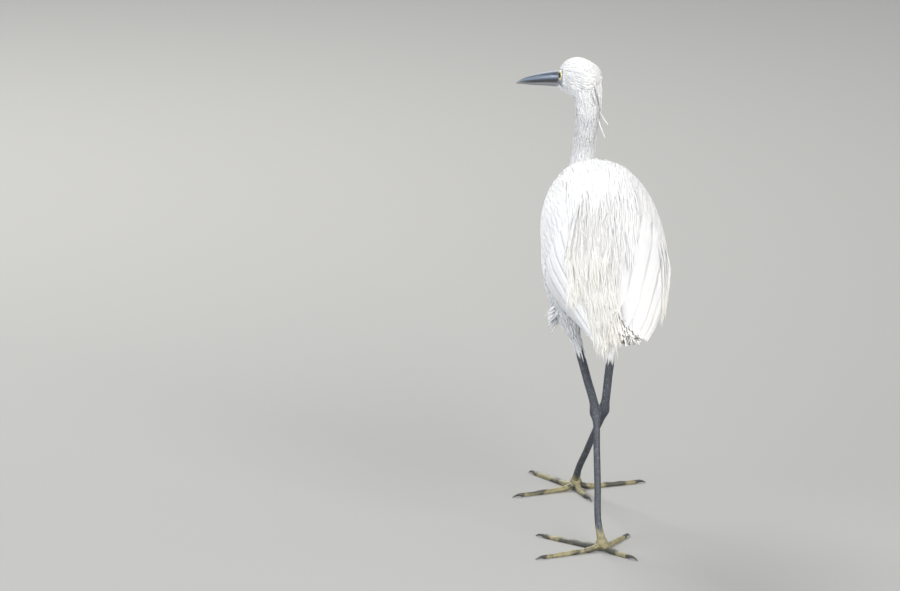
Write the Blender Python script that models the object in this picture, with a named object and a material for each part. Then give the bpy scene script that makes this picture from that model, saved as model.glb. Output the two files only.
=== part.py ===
# A little egret in breeding plumage, life size, walking with its head turned to its left.
# The frame is in metres with +Z up: +Y is the way the body faces, +X is the bird's right, and the
# origin is on the floor below the middle of the whole model. The sizes below are in millimetres,
# from a point on the floor under the bird's midline.

import math

import bmesh
import bpy
import numpy as np
from mathutils import Matrix, Vector

MM = 0.001
GAP = 0.3  # what neighbouring pieces keep between their faces
CENTRE_SHIFT = (8.5, -46.3, 0.0)  # from the midline point to the middle of the whole model

# The plumage's outer surface: sections across the body, each at its place along it.
PLUMAGE_Y = (-140, -136, -110, -80, -40, 0, 40, 80, 104, 116)
PLUMAGE_WIDE = (18, 20, 32, 41.5, 48.5, 49, 46.5, 39.5, 24, 6)
PLUMAGE_MID = (171, 172, 186, 197, 209, 219, 227, 233, 236, 237)
PLUMAGE_HIGH = (11, 12, 18, 27, 38, 46, 49, 42, 28, 8)

# The body under the wings and the mantle.
TORSO_Y = (-92, -80, -50, -10, 30, 70, 98, 116)
TORSO_WIDE = (8, 23, 37.5, 43, 43, 36, 22, 3)
TORSO_MID = (200, 201, 206.5, 215, 223.5, 230, 232, 234)
TORSO_HIGH = (4, 13, 27, 40, 45.5, 41.5, 25, 3)
TORSO_AROUND, TORSO_RINGS = 20, 12
# The body's own line leans a little to the bird's right of +Y.
LEAN, LEAN_FROM = 0.04, -45  # side for each millimetre forward, and where it crosses the midline

# The neck's middle line from the breast to the head, and its half width there.
NECK_PATH = (
    (5.6, 90, 229), (6.2, 122, 222), (6.6, 148, 231), (6.9, 160, 250),
    (6.9, 157, 271), (7.0, 142, 292), (6.8, 131, 311), (6.3, 131, 326),
)
NECK_RADIUS = (24, 21.5, 17.8, 12.6, 9.6, 9.8, 11, 12)
NECK_DEEPER = 1.1  # front to back against side to side
NECK_CUTS = (0.0, 0.45, 0.72, 1.0)
NECK_AROUND = 16

# The head: a point on its middle line between the eyes, and sections along that line.
HEAD_POINT = (-1.4, 146.4, 329)
HEAD_TURN = 20.5  # degrees to the bird's left
HEAD_DIP = 11.5  # degrees below level
HEAD_ALONG = (-34.5, -31, -24, -14, -4, 6, 13, 17)
HEAD_WIDE = (1.5, 7, 11.8, 14.4, 13.8, 11.6, 9, 6.8)
HEAD_UP = (1.5, 6.5, 11.6, 15.4, 17.2, 15.6, 12, 7.4)
HEAD_DOWN = (1.5, 7, 11.5, 15.5, 17.2, 16, 13, 8)
HEAD_AROUND, HEAD_RINGS = 20, 12

EYE_OUT, EYE_ABOVE, EYE_RADIUS = 9.2, 2.0, 5.5
EYE_FORWARD = 12  # degrees that the eye looks forward of straight out
EYE_AROUND, EYE_RINGS = 12, 7
LID_RADIUS, LID_THICK = 4.7, 0.75
LID_AROUND = 12

# The bill: shares of its length, and its half width, upper depth and lower depth there.
BILL_START, BILL_LENGTH = 17.0, 85.0
BILL_SHARE = (0.0, 0.12, 0.3, 0.5, 0.72, 0.9, 1.0)
BILL_WIDE = (5.9, 5.3, 4.4, 3.6, 2.6, 1.5, 0.5)
BILL_UPPER = (8.2, 7.9, 7.1, 6.1, 4.4, 2.3, 0.6)
BILL_LOWER = (4.9, 4.9, 4.1, 3.3, 2.4, 1.1, 0.4)
MOUTH_HEIGHT = (-1.8, -1.7, -1.4, -1.2, -1.1, -1.2, -1.5)  # of the mouth line, against the head's line
BILL_AROUND, BILL_RINGS = 10, 13
GROOVE = 0.55  # half the width of the mouth's corner line and of a nostril
GAPE = ((17, -1.8), (12, -2.4), (7, -3.6), (3, -5.4))  # along the head and above its line
NOSTRIL = ((0.09, 4.6), (0.14, 4.8), (0.2, 4.7))  # share of the bill, height above the mouth

# The legs: middle lines and half widths, from inside the body to the foot joint.
LEFT_THIGH = ((-20, 32, 221), (-28.5, 14, 200), (-30, 0, 184), (-29, -11, 172), (-27.6, -20, 164),
              (-26, -27, 157), (-23.4, -34.2, 148))
LEFT_THIGH_RADIUS = (15, 17, 14.5, 11.6, 8.4, 5.8, 4.1)
RIGHT_THIGH = ((17, 32, 219), (21.5, 33, 202), (21, 35, 185), (18.6, 37, 167), (16.6, 38, 152),
               (14.8, 39, 140), (13.1, 39.5, 129.8))
RIGHT_THIGH_RADIUS = (15, 17, 15, 11.5, 8, 5.6, 4.1)
LEFT_HOCK, LEFT_ANKLE, LEFT_FOOT = (-15.3, -74, 105), (-17, -102.5, 20), (-15.1, -107, 8)
RIGHT_HOCK, RIGHT_ANKLE, RIGHT_FOOT = (7.2, 41.4, 80), (-4.8, 106, 17), (-5.1, 114.6, 8)
THIGH_AROUND, THIGH_RINGS = 12, 9
LEG_AROUND = 8
SHANK_RADIUS, HOCK_RADIUS, TARSUS_RADIUS, ANKLE_RADIUS = 3.3, 4.6, 2.65, 3.6
HOCK_REACH, HOCK_BEND = 5.5, 4.0  # how far its swelling and its bend reach along the leg
PAD_SIZE = (6.4, 6.4, 7.2)

# Toes: length, claw length, half width at the root, number of joints.
TOE_SIZES = {
    "middle": (62, 12, 2.9, 4),
    "inner": (48, 11, 2.7, 3),
    "outer": (52, 10, 2.7, 4),
    "hind": (32, 15, 2.9, 2),
}
# The way each toe points, in degrees from +X towards +Y.
TOE_TURNS = {
    "left": {"middle": 127, "inner": 60, "outer": 205, "hind": -61},
    "right": {"middle": 113, "inner": 203, "outer": 18, "hind": -82.5},
}
TOE_AROUND, TOE_RINGS, CLAW_RINGS = 8, 7, 4
PAD_AROUND, PAD_RINGS = 12, 6
TOE_SIT = 0.62  # height of a lying toe's middle, as a share of its half width
TOE_ROOT_HEIGHT, TOE_DOWN = 6.0, 15.0  # where it leaves the foot, and the way until it lies flat

# The folded wings: their upper and lower edges as degrees round the plumage (0 out, 90 up).
WING_Y = (-138, -112, -96, -60, -20, 20, 60, 90, 104)
WING_UPPER = {
    "left": (80, 74, 68, 62, 61, 63, 62, 50, 28),
    "right": (104, 94, 86, 76, 68, 65, 62, 50, 28),
}
WING_LOWER = (-6, -14, -20, -27, -27, -29, -31, -22, -2)
# The arm under the coverts: its rear edge, and its outer face against the plumage's along it.
ARM_END, ARM_CLEAR = -12, 1.3  # and how far its inner face stays from the body
ARM_SKIN_Y, ARM_SKIN = (-12, 20, 60, 104), (-1.3, -0.8, 0.3, 0.2)
ARM_ROWS, ARM_COLUMNS = 8, 8

# A vane's thickness, how much higher its lower edge lies than its middle, and its middle's crown.
VANE_THICK, VANE_TILT, VANE_CROWN = 0.6, 0.85, 0.1
VANE_COVER = 0.8  # half a vane's width against how far apart neighbours lie

# The flight feathers' tips, from the one nearest the spine to the lowest one.
FLIGHT_COUNT, FLIGHT_ROOT_Y = 10, (14, 2)
FLIGHT_TIP_Y = (-121, -132, -139, -140, -134, -110, -82, -56)
FLIGHT_TIP = {
    "left": (67, 56, 41, 24, 6, -10, -20, -27),
    "right": (93, 80, 54, 30, 8, -8, -20, -27),
}
FLIGHT_LIFT = (-2.6, -2.6, -1.6, -0.7, -0.2, -0.2)
FLIGHT_SHAPE = (0.6, 0.95, 1.0, 1.0, 0.95, 0.4)
FLIGHT_WAY = (0, 0.2, 0.42, 0.66, 0.86, 1)  # where along the feather these are

# The rows of coverts over them: number, and root and tip nearest the spine and lowest.
COVERT_ROWS = (
    {"count": 7, "root": (34, 40), "tip": (-30, 6), "lift": (-3.0, 0.7, 0.8, 0.6)},
    {"count": 6, "root": (78, 80), "tip": (22, 34), "lift": (-2.4, 1.9, 2.2, 1.9)},
)
COVERT_SHAPE, COVERT_WAY = (0.6, 1.0, 0.96, 0.36), (0, 0.3, 0.72, 1)
FLIGHT_INSET, COVERT_INSET = 5, 9  # degrees between the arm's edges and the outermost feathers' middles
# The clear room that a wing keeps over it and, in degrees, beside it.
ROOM_Y, ROOM_LIFT, ROOM_DEEP = (-60, -20, 20), (1.7, 2.2, 3.6), 9.0
ROOM_SIDE = 7

# The mantle between the wings.
MANTLE_Y = (-42, 100)
MANTLE_RISE = (3.4, 1.2)  # its outer face at its rear and from the middle forward
MANTLE_OVER, MANTLE_EDGE = 9, 0.9  # degrees that its sides lie over the wings, and their thickness
MANTLE_ROUND = 12  # how much further forward its rear edge ends at the sides

# The long loose plumes that hang back from it, in layers: number, where their roots are, where
# they leave the plumage and how far the tips hang below that, in the middle row and at the left.
PLUME_LAYERS = (
    {"count": 9, "root": -22, "last": (-126, -114), "drop": (24, 15), "lift": (1.4, 3.4, 3.4, 3.2)},
    {"count": 8, "root": 2, "last": (-120, -102), "drop": (26, 17), "lift": (0.0, 5.2, 5.2, 5.1)},
    {"count": 5, "root": 30, "last": (-74, -66), "drop": (5, 3), "lift": (-2, 6.0, 6.9, 6.9)},
)
PLUME_ROOT_TURN, PLUME_TIP_TURN = (71, 113), (76, 158)  # degrees from the bird's right
PLUME_HANG = (0, -0.42, -1)  # the way the tips hang behind the body
PLUME_WRAP = (-8, 22)  # how much further along and round the left wing the left tips lie
PLUME_WIDE = (1.4, 2.2, 2.1, 1.8, 1.1, 0.3)
PLUME_FLAT, PLUME_RINGS = 0.36, 6

TAIL_ROOT, TAIL_TIP = (-0.7, -62, 208), (0.5, -132, 168)
TAIL_COUNT, TAIL_SPREAD = 9, 11.5  # feathers, and how far the outermost tips lie from the middle
TAIL_WIDE = (3.0, 4.6, 5.2, 4.8, 1.8)
TAIL_STEP, TAIL_TILT = 0.8, 0.2  # how far each feather lies below the next one inward, and its tilt
TAIL_BASE = ((0, -58, 207), (-0.3, -76, 199), (-0.5, -90, 190))
TAIL_BASE_WIDE, TAIL_BASE_DEEP = (13, 12.5, 10), 0.45

# Two slim plumes from the nape, lying along the right side of the neck.
NAPE_PLUMES = (
    ((9, 121, 338), (13.2, 112.6, 328), (16.4, 114.5, 314), (19.2, 119.5, 303), (22, 125, 294.5)),
    ((7, 121, 336), (10.2, 112, 325), (14.4, 115, 308), (18, 121.5, 295), (20.8, 128, 284)),
)
NAPE_WIDE = (1.5, 1.7, 1.5, 1.2, 0.5)
# The pointed plumes of the lower neck, in two rows: share of the neck's length, number, length,
# and how far round the neck the row reaches from straight below.
BREAST_ROWS = ((0.4, 7, 52, 50), (0.3, 6, 44, 42))
BREAST_WIDE = (2.2, 3.3, 2.9, 2.0, 0.4)
BREAST_FLAT, BREAST_RINGS = 0.42, 5
BREAST_FALL = (0.1, -0.5, -0.86)  # the way they hang: outward, back and down
BREAST_BULGE = (0, 3.4, 3.4, 2)  # how far they stand off the breast along their length

WHITE = (0.86, 0.86, 0.87, 1)
CREAM = (0.80, 0.78, 0.73, 1)
BLACK = (0.022, 0.024, 0.030, 1)
SLATE = (0.10, 0.13, 0.17, 1)
YELLOW = (0.42, 0.36, 0.12, 1)


def material(name, colour, roughness):
    made = bpy.data.materials.get(name)
    if made is None:
        made = bpy.data.materials.new(name)
        made.use_nodes = True
        made.diffuse_color = colour
        shader = made.node_tree.nodes["Principled BSDF"]
        shader.inputs["Base Color"].default_value = colour
        shader.inputs["Roughness"].default_value = roughness
        shader.inputs["Metallic"].default_value = 0
    return made


def white_feathers():
    return material("white_feathers", WHITE, 0.85)


def loose_plumes():
    return material("loose_plumes", CREAM, 0.9)


def dark_horn():
    return material("dark_horn", BLACK, 0.4)


def eye_gloss():
    return material("eye_gloss", YELLOW, 0.05)


def leg_skin():
    return material("black_leg_skin", SLATE, 0.55)


def foot_skin():
    return material("yellow_foot_skin", YELLOW, 0.6)


def smooth(places, values, at):
    """A curve through a few values that never swings past them."""
    x, y, at = (np.asarray(v, float) for v in (places, values, at))
    slope = np.diff(y) / np.diff(x)
    same = slope[:-1] * slope[1:] > 0
    total = np.where(same, slope[:-1] + slope[1:], 1)
    inner = np.where(same, 2 * slope[:-1] * slope[1:] / total, 0)
    tangent = np.concatenate([slope[:1], inner, slope[-1:]])
    at = np.clip(at, x[0], x[-1])
    i = np.clip(np.searchsorted(x, at, side="right") - 1, 0, len(slope) - 1)
    return hermite(y[i], y[i + 1], tangent[i], tangent[i + 1], (at - x[i]), (x[i + 1] - x[i]))


def hermite(start, end, start_slope, end_slope, way, step):
    """A cubic from start to end with the given slopes."""
    t = way / step
    return (
        start * (1 + 2 * t) * (1 - t) ** 2
        + start_slope * step * t * (1 - t) ** 2
        + end * t * t * (3 - 2 * t)
        + end_slope * step * t * t * (t - 1)
    )


def lengths(points):
    """How far along a line each of its points lies."""
    steps = np.linalg.norm(np.diff(points, axis=0), axis=1)
    return np.concatenate([[0], np.cumsum(steps)])


def through(points, count=60):
    """Evenly spaced points on a smooth curve through a few points."""
    points = np.asarray(points, float)
    x = lengths(points)
    tangent = np.gradient(points, x, axis=0)
    at = np.linspace(0, x[-1], count)
    i = np.clip(np.searchsorted(x, at, side="right") - 1, 0, len(x) - 2)
    way, step = (at - x[i])[:, None], (x[i + 1] - x[i])[:, None]
    return hermite(points[i], points[i + 1], tangent[i], tangent[i + 1], way, step)


def unit(v):
    v = np.asarray(v, float)
    return v / np.linalg.norm(v, axis=-1, keepdims=True)


def closed_mesh(name, points, faces, skin):
    """A closed object from points and faces, with its faces turned outwards."""
    mesh = bpy.data.meshes.new(name)
    mesh.from_pydata((np.asarray(points) * MM).tolist(), [], faces)
    shape = bmesh.new()
    shape.from_mesh(mesh)
    bmesh.ops.recalc_face_normals(shape, faces=shape.faces)
    if shape.calc_volume(signed=True) < 0:
        bmesh.ops.reverse_faces(shape, faces=shape.faces)
    shape.to_mesh(mesh)
    shape.free()
    made = bpy.data.objects.new(name, mesh)
    bpy.context.scene.collection.objects.link(made)
    made.data.materials.append(skin)
    return made


def loft(name, rings, skin):
    """A closed solid through rings of points, each end closed by a fan to its middle."""
    rings = np.asarray(rings, float)
    count, around = rings.shape[:2]
    points = np.vstack([rings.reshape(-1, 3), rings[0].mean(0), rings[-1].mean(0)])
    faces = []
    for i in range(count - 1):
        for j in range(around):
            a, b = i * around + j, i * around + (j + 1) % around
            faces.append((a, b, b + around))
            faces.append((a, b + around, a + around))
    first, last, top = count * around, count * around + 1, (count - 1) * around
    for j in range(around):
        k = (j + 1) % around
        faces.append((first, k, j))
        faces.append((last, top + j, top + k))
    return closed_mesh(name, points, faces, skin)


def slab(name, outer, inner, skin):
    """A closed sheet between two grids of points that match, split alike on both faces."""
    rows, columns = outer.shape[:2]
    points = np.vstack([outer.reshape(-1, 3), inner.reshape(-1, 3)])
    other = rows * columns
    faces = []
    for i in range(rows - 1):
        for j in range(columns - 1):
            a = i * columns + j
            for shift in (0, other):
                faces.append((a + shift, a + 1 + shift, a + columns + 1 + shift))
                faces.append((a + shift, a + columns + 1 + shift, a + columns + shift))
    edge = [j for j in range(columns)]
    edge += [i * columns + columns - 1 for i in range(1, rows)]
    edge += [(rows - 1) * columns + j for j in range(columns - 2, -1, -1)]
    edge += [i * columns for i in range(rows - 2, 0, -1)]
    for a, b in zip(edge, edge[1:] + edge[:1]):
        faces.append((a, b, b + other))
        faces.append((a, b + other, a + other))
    return closed_mesh(name, points, faces, skin)


def stretch(line, start, end, count):
    """Points of a line between two distances along it, its directions there, and the distances."""
    way = lengths(line)
    tangent = unit(np.gradient(line, axis=0))
    at = np.linspace(start, end, count)
    path = np.stack([np.interp(at, way, line[:, k]) for k in range(3)], -1)
    return path, unit(np.stack([np.interp(at, way, tangent[:, k]) for k in range(3)], -1)), at


def tube_rings(path, radius, around, deeper=1.0, side=(1, 0, 0), tangent=None):
    """Rings round a path, their first axis as near to the given side as it can be."""
    tangent = unit(np.gradient(path, axis=0)) if tangent is None else tangent
    across = np.asarray(side, float) - tangent * (tangent @ np.asarray(side, float))[:, None]
    across = unit(across)
    depth = np.cross(tangent, across)
    angle = np.linspace(0, 2 * math.pi, around, endpoint=False)
    radius = np.broadcast_to(np.asarray(radius, float), (len(path),))[:, None, None]
    return (
        path[:, None]
        + across[:, None] * np.cos(angle)[None, :, None] * radius
        + depth[:, None] * np.sin(angle)[None, :, None] * radius * deeper
    )


def combine(target, others, operation):
    """Joins other closed solids to the target, or cuts them from it, and removes them."""
    group = bpy.data.collections.new(target.name + "_others")
    bpy.context.scene.collection.children.link(group)
    for other in others:
        bpy.context.scene.collection.objects.unlink(other)
        group.objects.link(other)
    step = target.modifiers.new(operation.lower(), "BOOLEAN")
    step.operation = operation
    step.operand_type = "COLLECTION"
    step.collection = group
    step.solver = "MANIFOLD"  # the exact solver is slow on many thin vanes
    bpy.context.view_layer.update()
    graph = bpy.context.evaluated_depsgraph_get()
    result = bpy.data.meshes.new_from_object(target.evaluated_get(graph))
    target.modifiers.clear()
    target.data = result
    for other in list(group.objects):
        bpy.data.objects.remove(other)
    bpy.data.collections.remove(group)
    keep_largest(target)


def keep_largest(target):
    """Keeps only the largest closed surface of a mesh."""
    shape = bmesh.new()
    shape.from_mesh(target.data)
    bmesh.ops.triangulate(shape, faces=shape.faces)
    todo, groups = set(shape.faces), []
    while todo:
        front, group = [todo.pop()], []
        while front:
            face = front.pop()
            group.append(face)
            for near in (f for edge in face.edges for f in edge.link_faces if f in todo):
                todo.discard(near)
                front.append(near)
        groups.append(group)

    def volume(group):
        corners = ([v.co for v in face.verts] for face in group)
        return sum(a.dot(b.cross(c)) for a, b, c in corners)

    largest = max(groups, key=volume)
    scraps = [face for group in groups if group is not largest for face in group]
    bmesh.ops.delete(shape, geom=scraps, context="FACES")
    shape.to_mesh(target.data)
    shape.free()


def place(made, root, bird):
    """Puts an object's own origin at a point of the bird and hangs it on the bird's empty."""
    offset = Vector(root) * MM
    made.data.transform(Matrix.Translation(-offset))
    made.location = offset
    made.parent = bird
    made.data.shade_smooth()
    made.data.set_sharp_from_angle(angle=math.radians(40))


def lean(y):
    """The body's own line, to the bird's right of the midline."""
    return (y - LEAN_FROM) * LEAN


def plumage_point(y, degrees, lift=0.0, side=1):
    """A point of the plumage's outer surface, or above it by a lift; side -1 is the bird's left."""
    angle = np.radians(degrees)
    wide = smooth(PLUMAGE_Y, PLUMAGE_WIDE, y) + lift
    high = smooth(PLUMAGE_Y, PLUMAGE_HIGH, y) + lift
    middle = smooth(PLUMAGE_Y, PLUMAGE_MID, y)
    x = lean(y) + side * wide * np.cos(angle)
    return np.stack([x, np.broadcast_to(y, x.shape), middle + high * np.sin(angle)], -1)


def torso_point(y, degrees, lift=0.0, side=1):
    """A point of the body's own surface, or above it by a lift."""
    angle = np.radians(degrees)
    x = lean(y) + side * (smooth(TORSO_Y, TORSO_WIDE, y) + lift) * np.cos(angle)
    z = smooth(TORSO_Y, TORSO_MID, y) + (smooth(TORSO_Y, TORSO_HIGH, y) + lift) * np.sin(angle)
    return np.stack([x, np.broadcast_to(y, x.shape), z], -1)


def vane_row(side, y, degrees, shape, lift):
    """Feathers side by side on the plumage, each one's lower edge over the next one's upper edge.

    The places and the turns round the plumage have a row for each feather. A feather is as wide
    as the way to its neighbours asks."""
    lines = plumage_point(y, degrees, 0.0, side)
    along = unit(np.gradient(lines, axis=1))
    step = np.gradient(lines, axis=0)
    apart = np.linalg.norm(step - along * (step * along).sum(-1, keepdims=True), axis=-1)
    wide = apart * VANE_COVER * np.asarray(shape)
    angle = np.radians(degrees)
    across = smooth(PLUMAGE_Y, PLUMAGE_WIDE, y) * np.sin(angle)
    up = smooth(PLUMAGE_Y, PLUMAGE_HIGH, y) * np.cos(angle)
    turn = np.degrees(wide / np.hypot(across, up))
    column = np.array((-1.0, 0.0, 1.0))
    raised = np.asarray(lift)[:, None] + VANE_CROWN * (column == 0) - VANE_TILT * column
    feathers = []
    for k in range(len(y)):
        spread = degrees[k][:, None] + turn[k][:, None] * column
        place_y = np.broadcast_to(y[k][:, None], spread.shape)
        outer = plumage_point(place_y, spread, raised, side)
        inner = plumage_point(place_y, spread, raised - VANE_THICK, side)
        feathers.append(slab("vane", outer, inner, white_feathers()))
    return feathers


def lock(points, wide, flat, skin, side=(1, 0, 0), rings=6):
    """A flat tapered plume along a smooth line through a few points."""
    path = through(points, rings)
    width = np.interp(np.linspace(0, 1, rings), np.linspace(0, 1, len(wide)), wide)
    return loft("lock", tube_rings(path, width, 4, flat, side), skin)


def torso_solid(name="torso", grow=0.0):
    start, end = TORSO_Y[0], TORSO_Y[-1]
    middle, half = (start + end) / 2, (end - start) / 2
    share = np.cos(np.linspace(math.pi, 0, TORSO_RINGS))
    y = middle + half * share
    wide = smooth(TORSO_Y, TORSO_WIDE, y) + grow
    high = smooth(TORSO_Y, TORSO_HIGH, y) + grow
    level = smooth(TORSO_Y, TORSO_MID, y)
    angle = np.linspace(0, 2 * math.pi, TORSO_AROUND, endpoint=False)
    x = lean(y)[:, None] + wide[:, None] * np.cos(angle)
    z = level[:, None] + high[:, None] * np.sin(angle)
    y = np.broadcast_to((y + share * grow)[:, None], x.shape)
    return loft(name, np.stack([x, y, z], -1), white_feathers())


def neck_line():
    line = through(NECK_PATH)
    radius = smooth(lengths(np.asarray(NECK_PATH, float)), NECK_RADIUS, lengths(line))
    return line, radius


def neck_solid(name, start, end, rings, grow=0.0):
    """A stretch of the neck between two shares of its length."""
    line, radius = neck_line()
    way = lengths(line)
    path, tangent, at = stretch(line, start * way[-1] + GAP / 2, end * way[-1] - GAP / 2, rings)
    wide = np.interp(at, way, radius) + grow
    return loft(name, tube_rings(path, wide, NECK_AROUND, NECK_DEEPER, tangent=tangent), white_feathers())


def head_axes():
    turn, dip = math.radians(HEAD_TURN), math.radians(HEAD_DIP)
    forward = np.array((-math.sin(turn) * math.cos(dip), math.cos(turn) * math.cos(dip), -math.sin(dip)))
    right = np.array((math.cos(turn), math.sin(turn), 0.0))
    return forward, right, np.cross(right, forward)


def head_place(along, right, above):
    """A point given along the head's middle line, to its right and above it."""
    forward, side, up = head_axes()
    along, right, above = (np.asarray(v, float)[..., None] for v in (along, right, above))
    return np.asarray(HEAD_POINT) + forward * along + side * right + up * above


def head_side(along, above):
    """How far out the head's surface is at a place along it and a height above its line."""
    wide = smooth(HEAD_ALONG, HEAD_WIDE, along)
    up = smooth(HEAD_ALONG, HEAD_UP, along)
    down = smooth(HEAD_ALONG, HEAD_DOWN, along)
    high = np.where(np.asarray(above) > 0, up, down)
    return wide * np.sqrt(np.clip(1 - (above / high) ** 2, 0, 1))


def head_rings(grow=0.0):
    start, end = HEAD_ALONG[0], HEAD_ALONG[-1]
    share = np.sin(np.linspace(-math.pi / 2, math.pi * 0.36, HEAD_RINGS))
    share = (share + 1) / (share[-1] + 1)
    along = start + (end - start) * share
    wide = smooth(HEAD_ALONG, HEAD_WIDE, along)[:, None] + grow
    up = smooth(HEAD_ALONG, HEAD_UP, along)[:, None] + grow
    down = smooth(HEAD_ALONG, HEAD_DOWN, along)[:, None] + grow
    angle = np.linspace(0, 2 * math.pi, HEAD_AROUND, endpoint=False)
    rise = np.sin(angle)
    above = np.where(rise > 0, up * rise, down * rise)
    out = wide * np.cos(angle)
    ends = along + grow * (share * 2 - 1)
    return head_place(np.broadcast_to(ends[:, None], out.shape), out, above)


def ball(name, centre, size, around, rings, skin, grow=0.0):
    """A ball or an egg shape with its poles up and down."""
    size = np.broadcast_to(np.asarray(size, float), (3,)) + grow
    tilt = np.linspace(-math.pi / 2, math.pi / 2, rings + 2)[1:-1]
    angle = np.linspace(0, 2 * math.pi, around, endpoint=False)
    ring = np.stack([np.cos(angle), np.sin(angle)], -1)
    body = np.empty((rings, around, 3))
    body[..., :2] = np.cos(tilt)[:, None, None] * ring
    body[..., 2] = np.sin(tilt)[:, None]
    made = loft(name, np.asarray(centre) + body * size, skin)
    for pole, sign in ((-2, -1), (-1, 1)):  # the ends' middles go out to the poles
        made.data.vertices[pole].co = (np.asarray(centre) + (0, 0, sign * size[2])) * MM
    return made


def eye_centre(side):
    return head_place(0, side * EYE_OUT, EYE_ABOVE)


def eyeball(name, side, skin, grow=0.0):
    return ball(name, eye_centre(side), EYE_RADIUS, EYE_AROUND, EYE_RINGS, skin, grow)


def eye_look(side):
    forward, right, up = head_axes()
    turn = math.radians(EYE_FORWARD)
    return right * side * math.cos(turn) + forward * math.sin(turn)


def lid_ring(side):
    """The rim of the lids, a ring round the part of the eye that shows."""
    look = eye_look(side)
    up = head_axes()[2]
    up = unit(up - look * (up @ look))
    across = np.cross(look, up)
    angle = np.linspace(0, 2 * math.pi, LID_AROUND, endpoint=False)
    centre = eye_centre(side) + look * math.sqrt(EYE_RADIUS**2 - LID_RADIUS**2)
    out = np.cos(angle)[:, None] * across + np.sin(angle)[:, None] * up
    turn = np.linspace(0, 2 * math.pi, 6, endpoint=False)
    rings = (
        (centre + out * (LID_RADIUS + 0.35))[:, None]
        + out[:, None] * np.cos(turn)[None, :, None] * LID_THICK
        + look * np.sin(turn)[None, :, None] * LID_THICK * 1.2
    )
    count, around = rings.shape[:2]
    faces = []
    for i in range(count):
        for j in range(around):
            a, b = i * around + j, i * around + (j + 1) % around
            c, d = (i + 1) % count * around + (j + 1) % around, (i + 1) % count * around + j
            faces += [(a, b, c), (a, c, d)]
    return closed_mesh("lid", rings.reshape(-1, 3), faces, white_feathers())


def groove(points, around=5):
    path = through(points, 8)
    return loft("groove", tube_rings(path, GROOVE, around, side=(0, 0, 1)), dark_horn())


def head_solid():
    head = loft("head", head_rings(), white_feathers())
    lids = [lid_ring(side) for side in (-1, 1)]
    plumes = [lock(points, NAPE_WIDE, 0.45, white_feathers(), rings=8) for points in NAPE_PLUMES]
    combine(head, lids + plumes, "UNION")
    cuts = [eyeball("socket", side, white_feathers(), GAP) for side in (-1, 1)]
    along, above = np.array(GAPE).T
    for side in (-1, 1):
        cuts.append(groove(head_place(along, side * head_side(along, above), above)))
    combine(head, cuts, "DIFFERENCE")
    return head


def bill_solid(name, upper):
    """One half of the bill, rounded outside and flat along the mouth."""
    share = np.linspace(0, 1, BILL_RINGS) ** 0.9
    wide = smooth(BILL_SHARE, BILL_WIDE, share)[:, None]
    deep = smooth(BILL_SHARE, BILL_UPPER if upper else BILL_LOWER, share)[:, None]
    mouth = smooth(BILL_SHARE, MOUTH_HEIGHT, share)[:, None]
    angle = np.linspace(0, math.pi, BILL_AROUND)
    sign = 1 if upper else -1
    out = wide * np.cos(angle)
    above = mouth + sign * (GAP / 2 + deep * np.sin(angle))
    along = BILL_START + GAP + (BILL_LENGTH - GAP) * share
    rings = head_place(np.broadcast_to(along[:, None], out.shape), out, above)
    bill = loft(name, rings, dark_horn())
    if upper:
        share, above = np.array(NOSTRIL).T
        wide = smooth(BILL_SHARE, BILL_WIDE, share)
        deep = smooth(BILL_SHARE, BILL_UPPER, share)
        out = wide * np.sqrt(1 - (above / deep) ** 2)
        above = above + smooth(BILL_SHARE, MOUTH_HEIGHT, share)
        along = BILL_START + BILL_LENGTH * share
        combine(bill, [groove(head_place(along, side * out, above)) for side in (-1, 1)], "DIFFERENCE")
    return bill


def thigh_solid(name, points, radius, grow=0.0):
    path = through(points, THIGH_RINGS)
    wide = smooth(lengths(np.asarray(points, float)), radius, lengths(path)) + grow
    path[-1] += unit(path[-1] - path[-2]) * grow
    path[0] += unit(path[0] - path[1]) * grow
    return loft(name, tube_rings(path, wide, THIGH_AROUND), white_feathers())


def leg_line(edge, hock, ankle, foot):
    """The bare leg's middle line: straight, with a short bend at the hock and one at the ankle."""
    edge, hock, ankle, foot = (np.asarray(p, float) for p in (edge, hock, ankle, foot))
    before, after = unit(edge - hock), unit(ankle - hock)
    bends = [hock + before * HOCK_BEND, hock + after * HOCK_BEND]
    straight = [hock + after * 30, hock + after * 60]
    return through([edge, hock + before * 30, *bends, *straight, ankle, foot], 140)


def leg_radius(way, hock_way, total):
    """Thin shafts with a swelling at the hock and a wider end at the foot."""
    near = np.exp(-(((way - hock_way) / HOCK_REACH) ** 2))
    shaft = np.where(way < hock_way, SHANK_RADIUS, TARSUS_RADIUS)
    foot = np.clip(1 - (total - way) / 18, 0, 1) ** 2
    return shaft + (HOCK_RADIUS - shaft) * near + (ANKLE_RADIUS - TARSUS_RADIUS) * foot


def leg_solid(name, line, hock_way, start, end, rings, skin):
    """A stretch of the bare leg between two distances along its line."""
    path, tangent, at = stretch(line, start, end, rings)
    wide = leg_radius(at, hock_way, lengths(line)[-1])
    return loft(name, tube_rings(path, wide, LEG_AROUND, tangent=tangent), skin)


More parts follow.
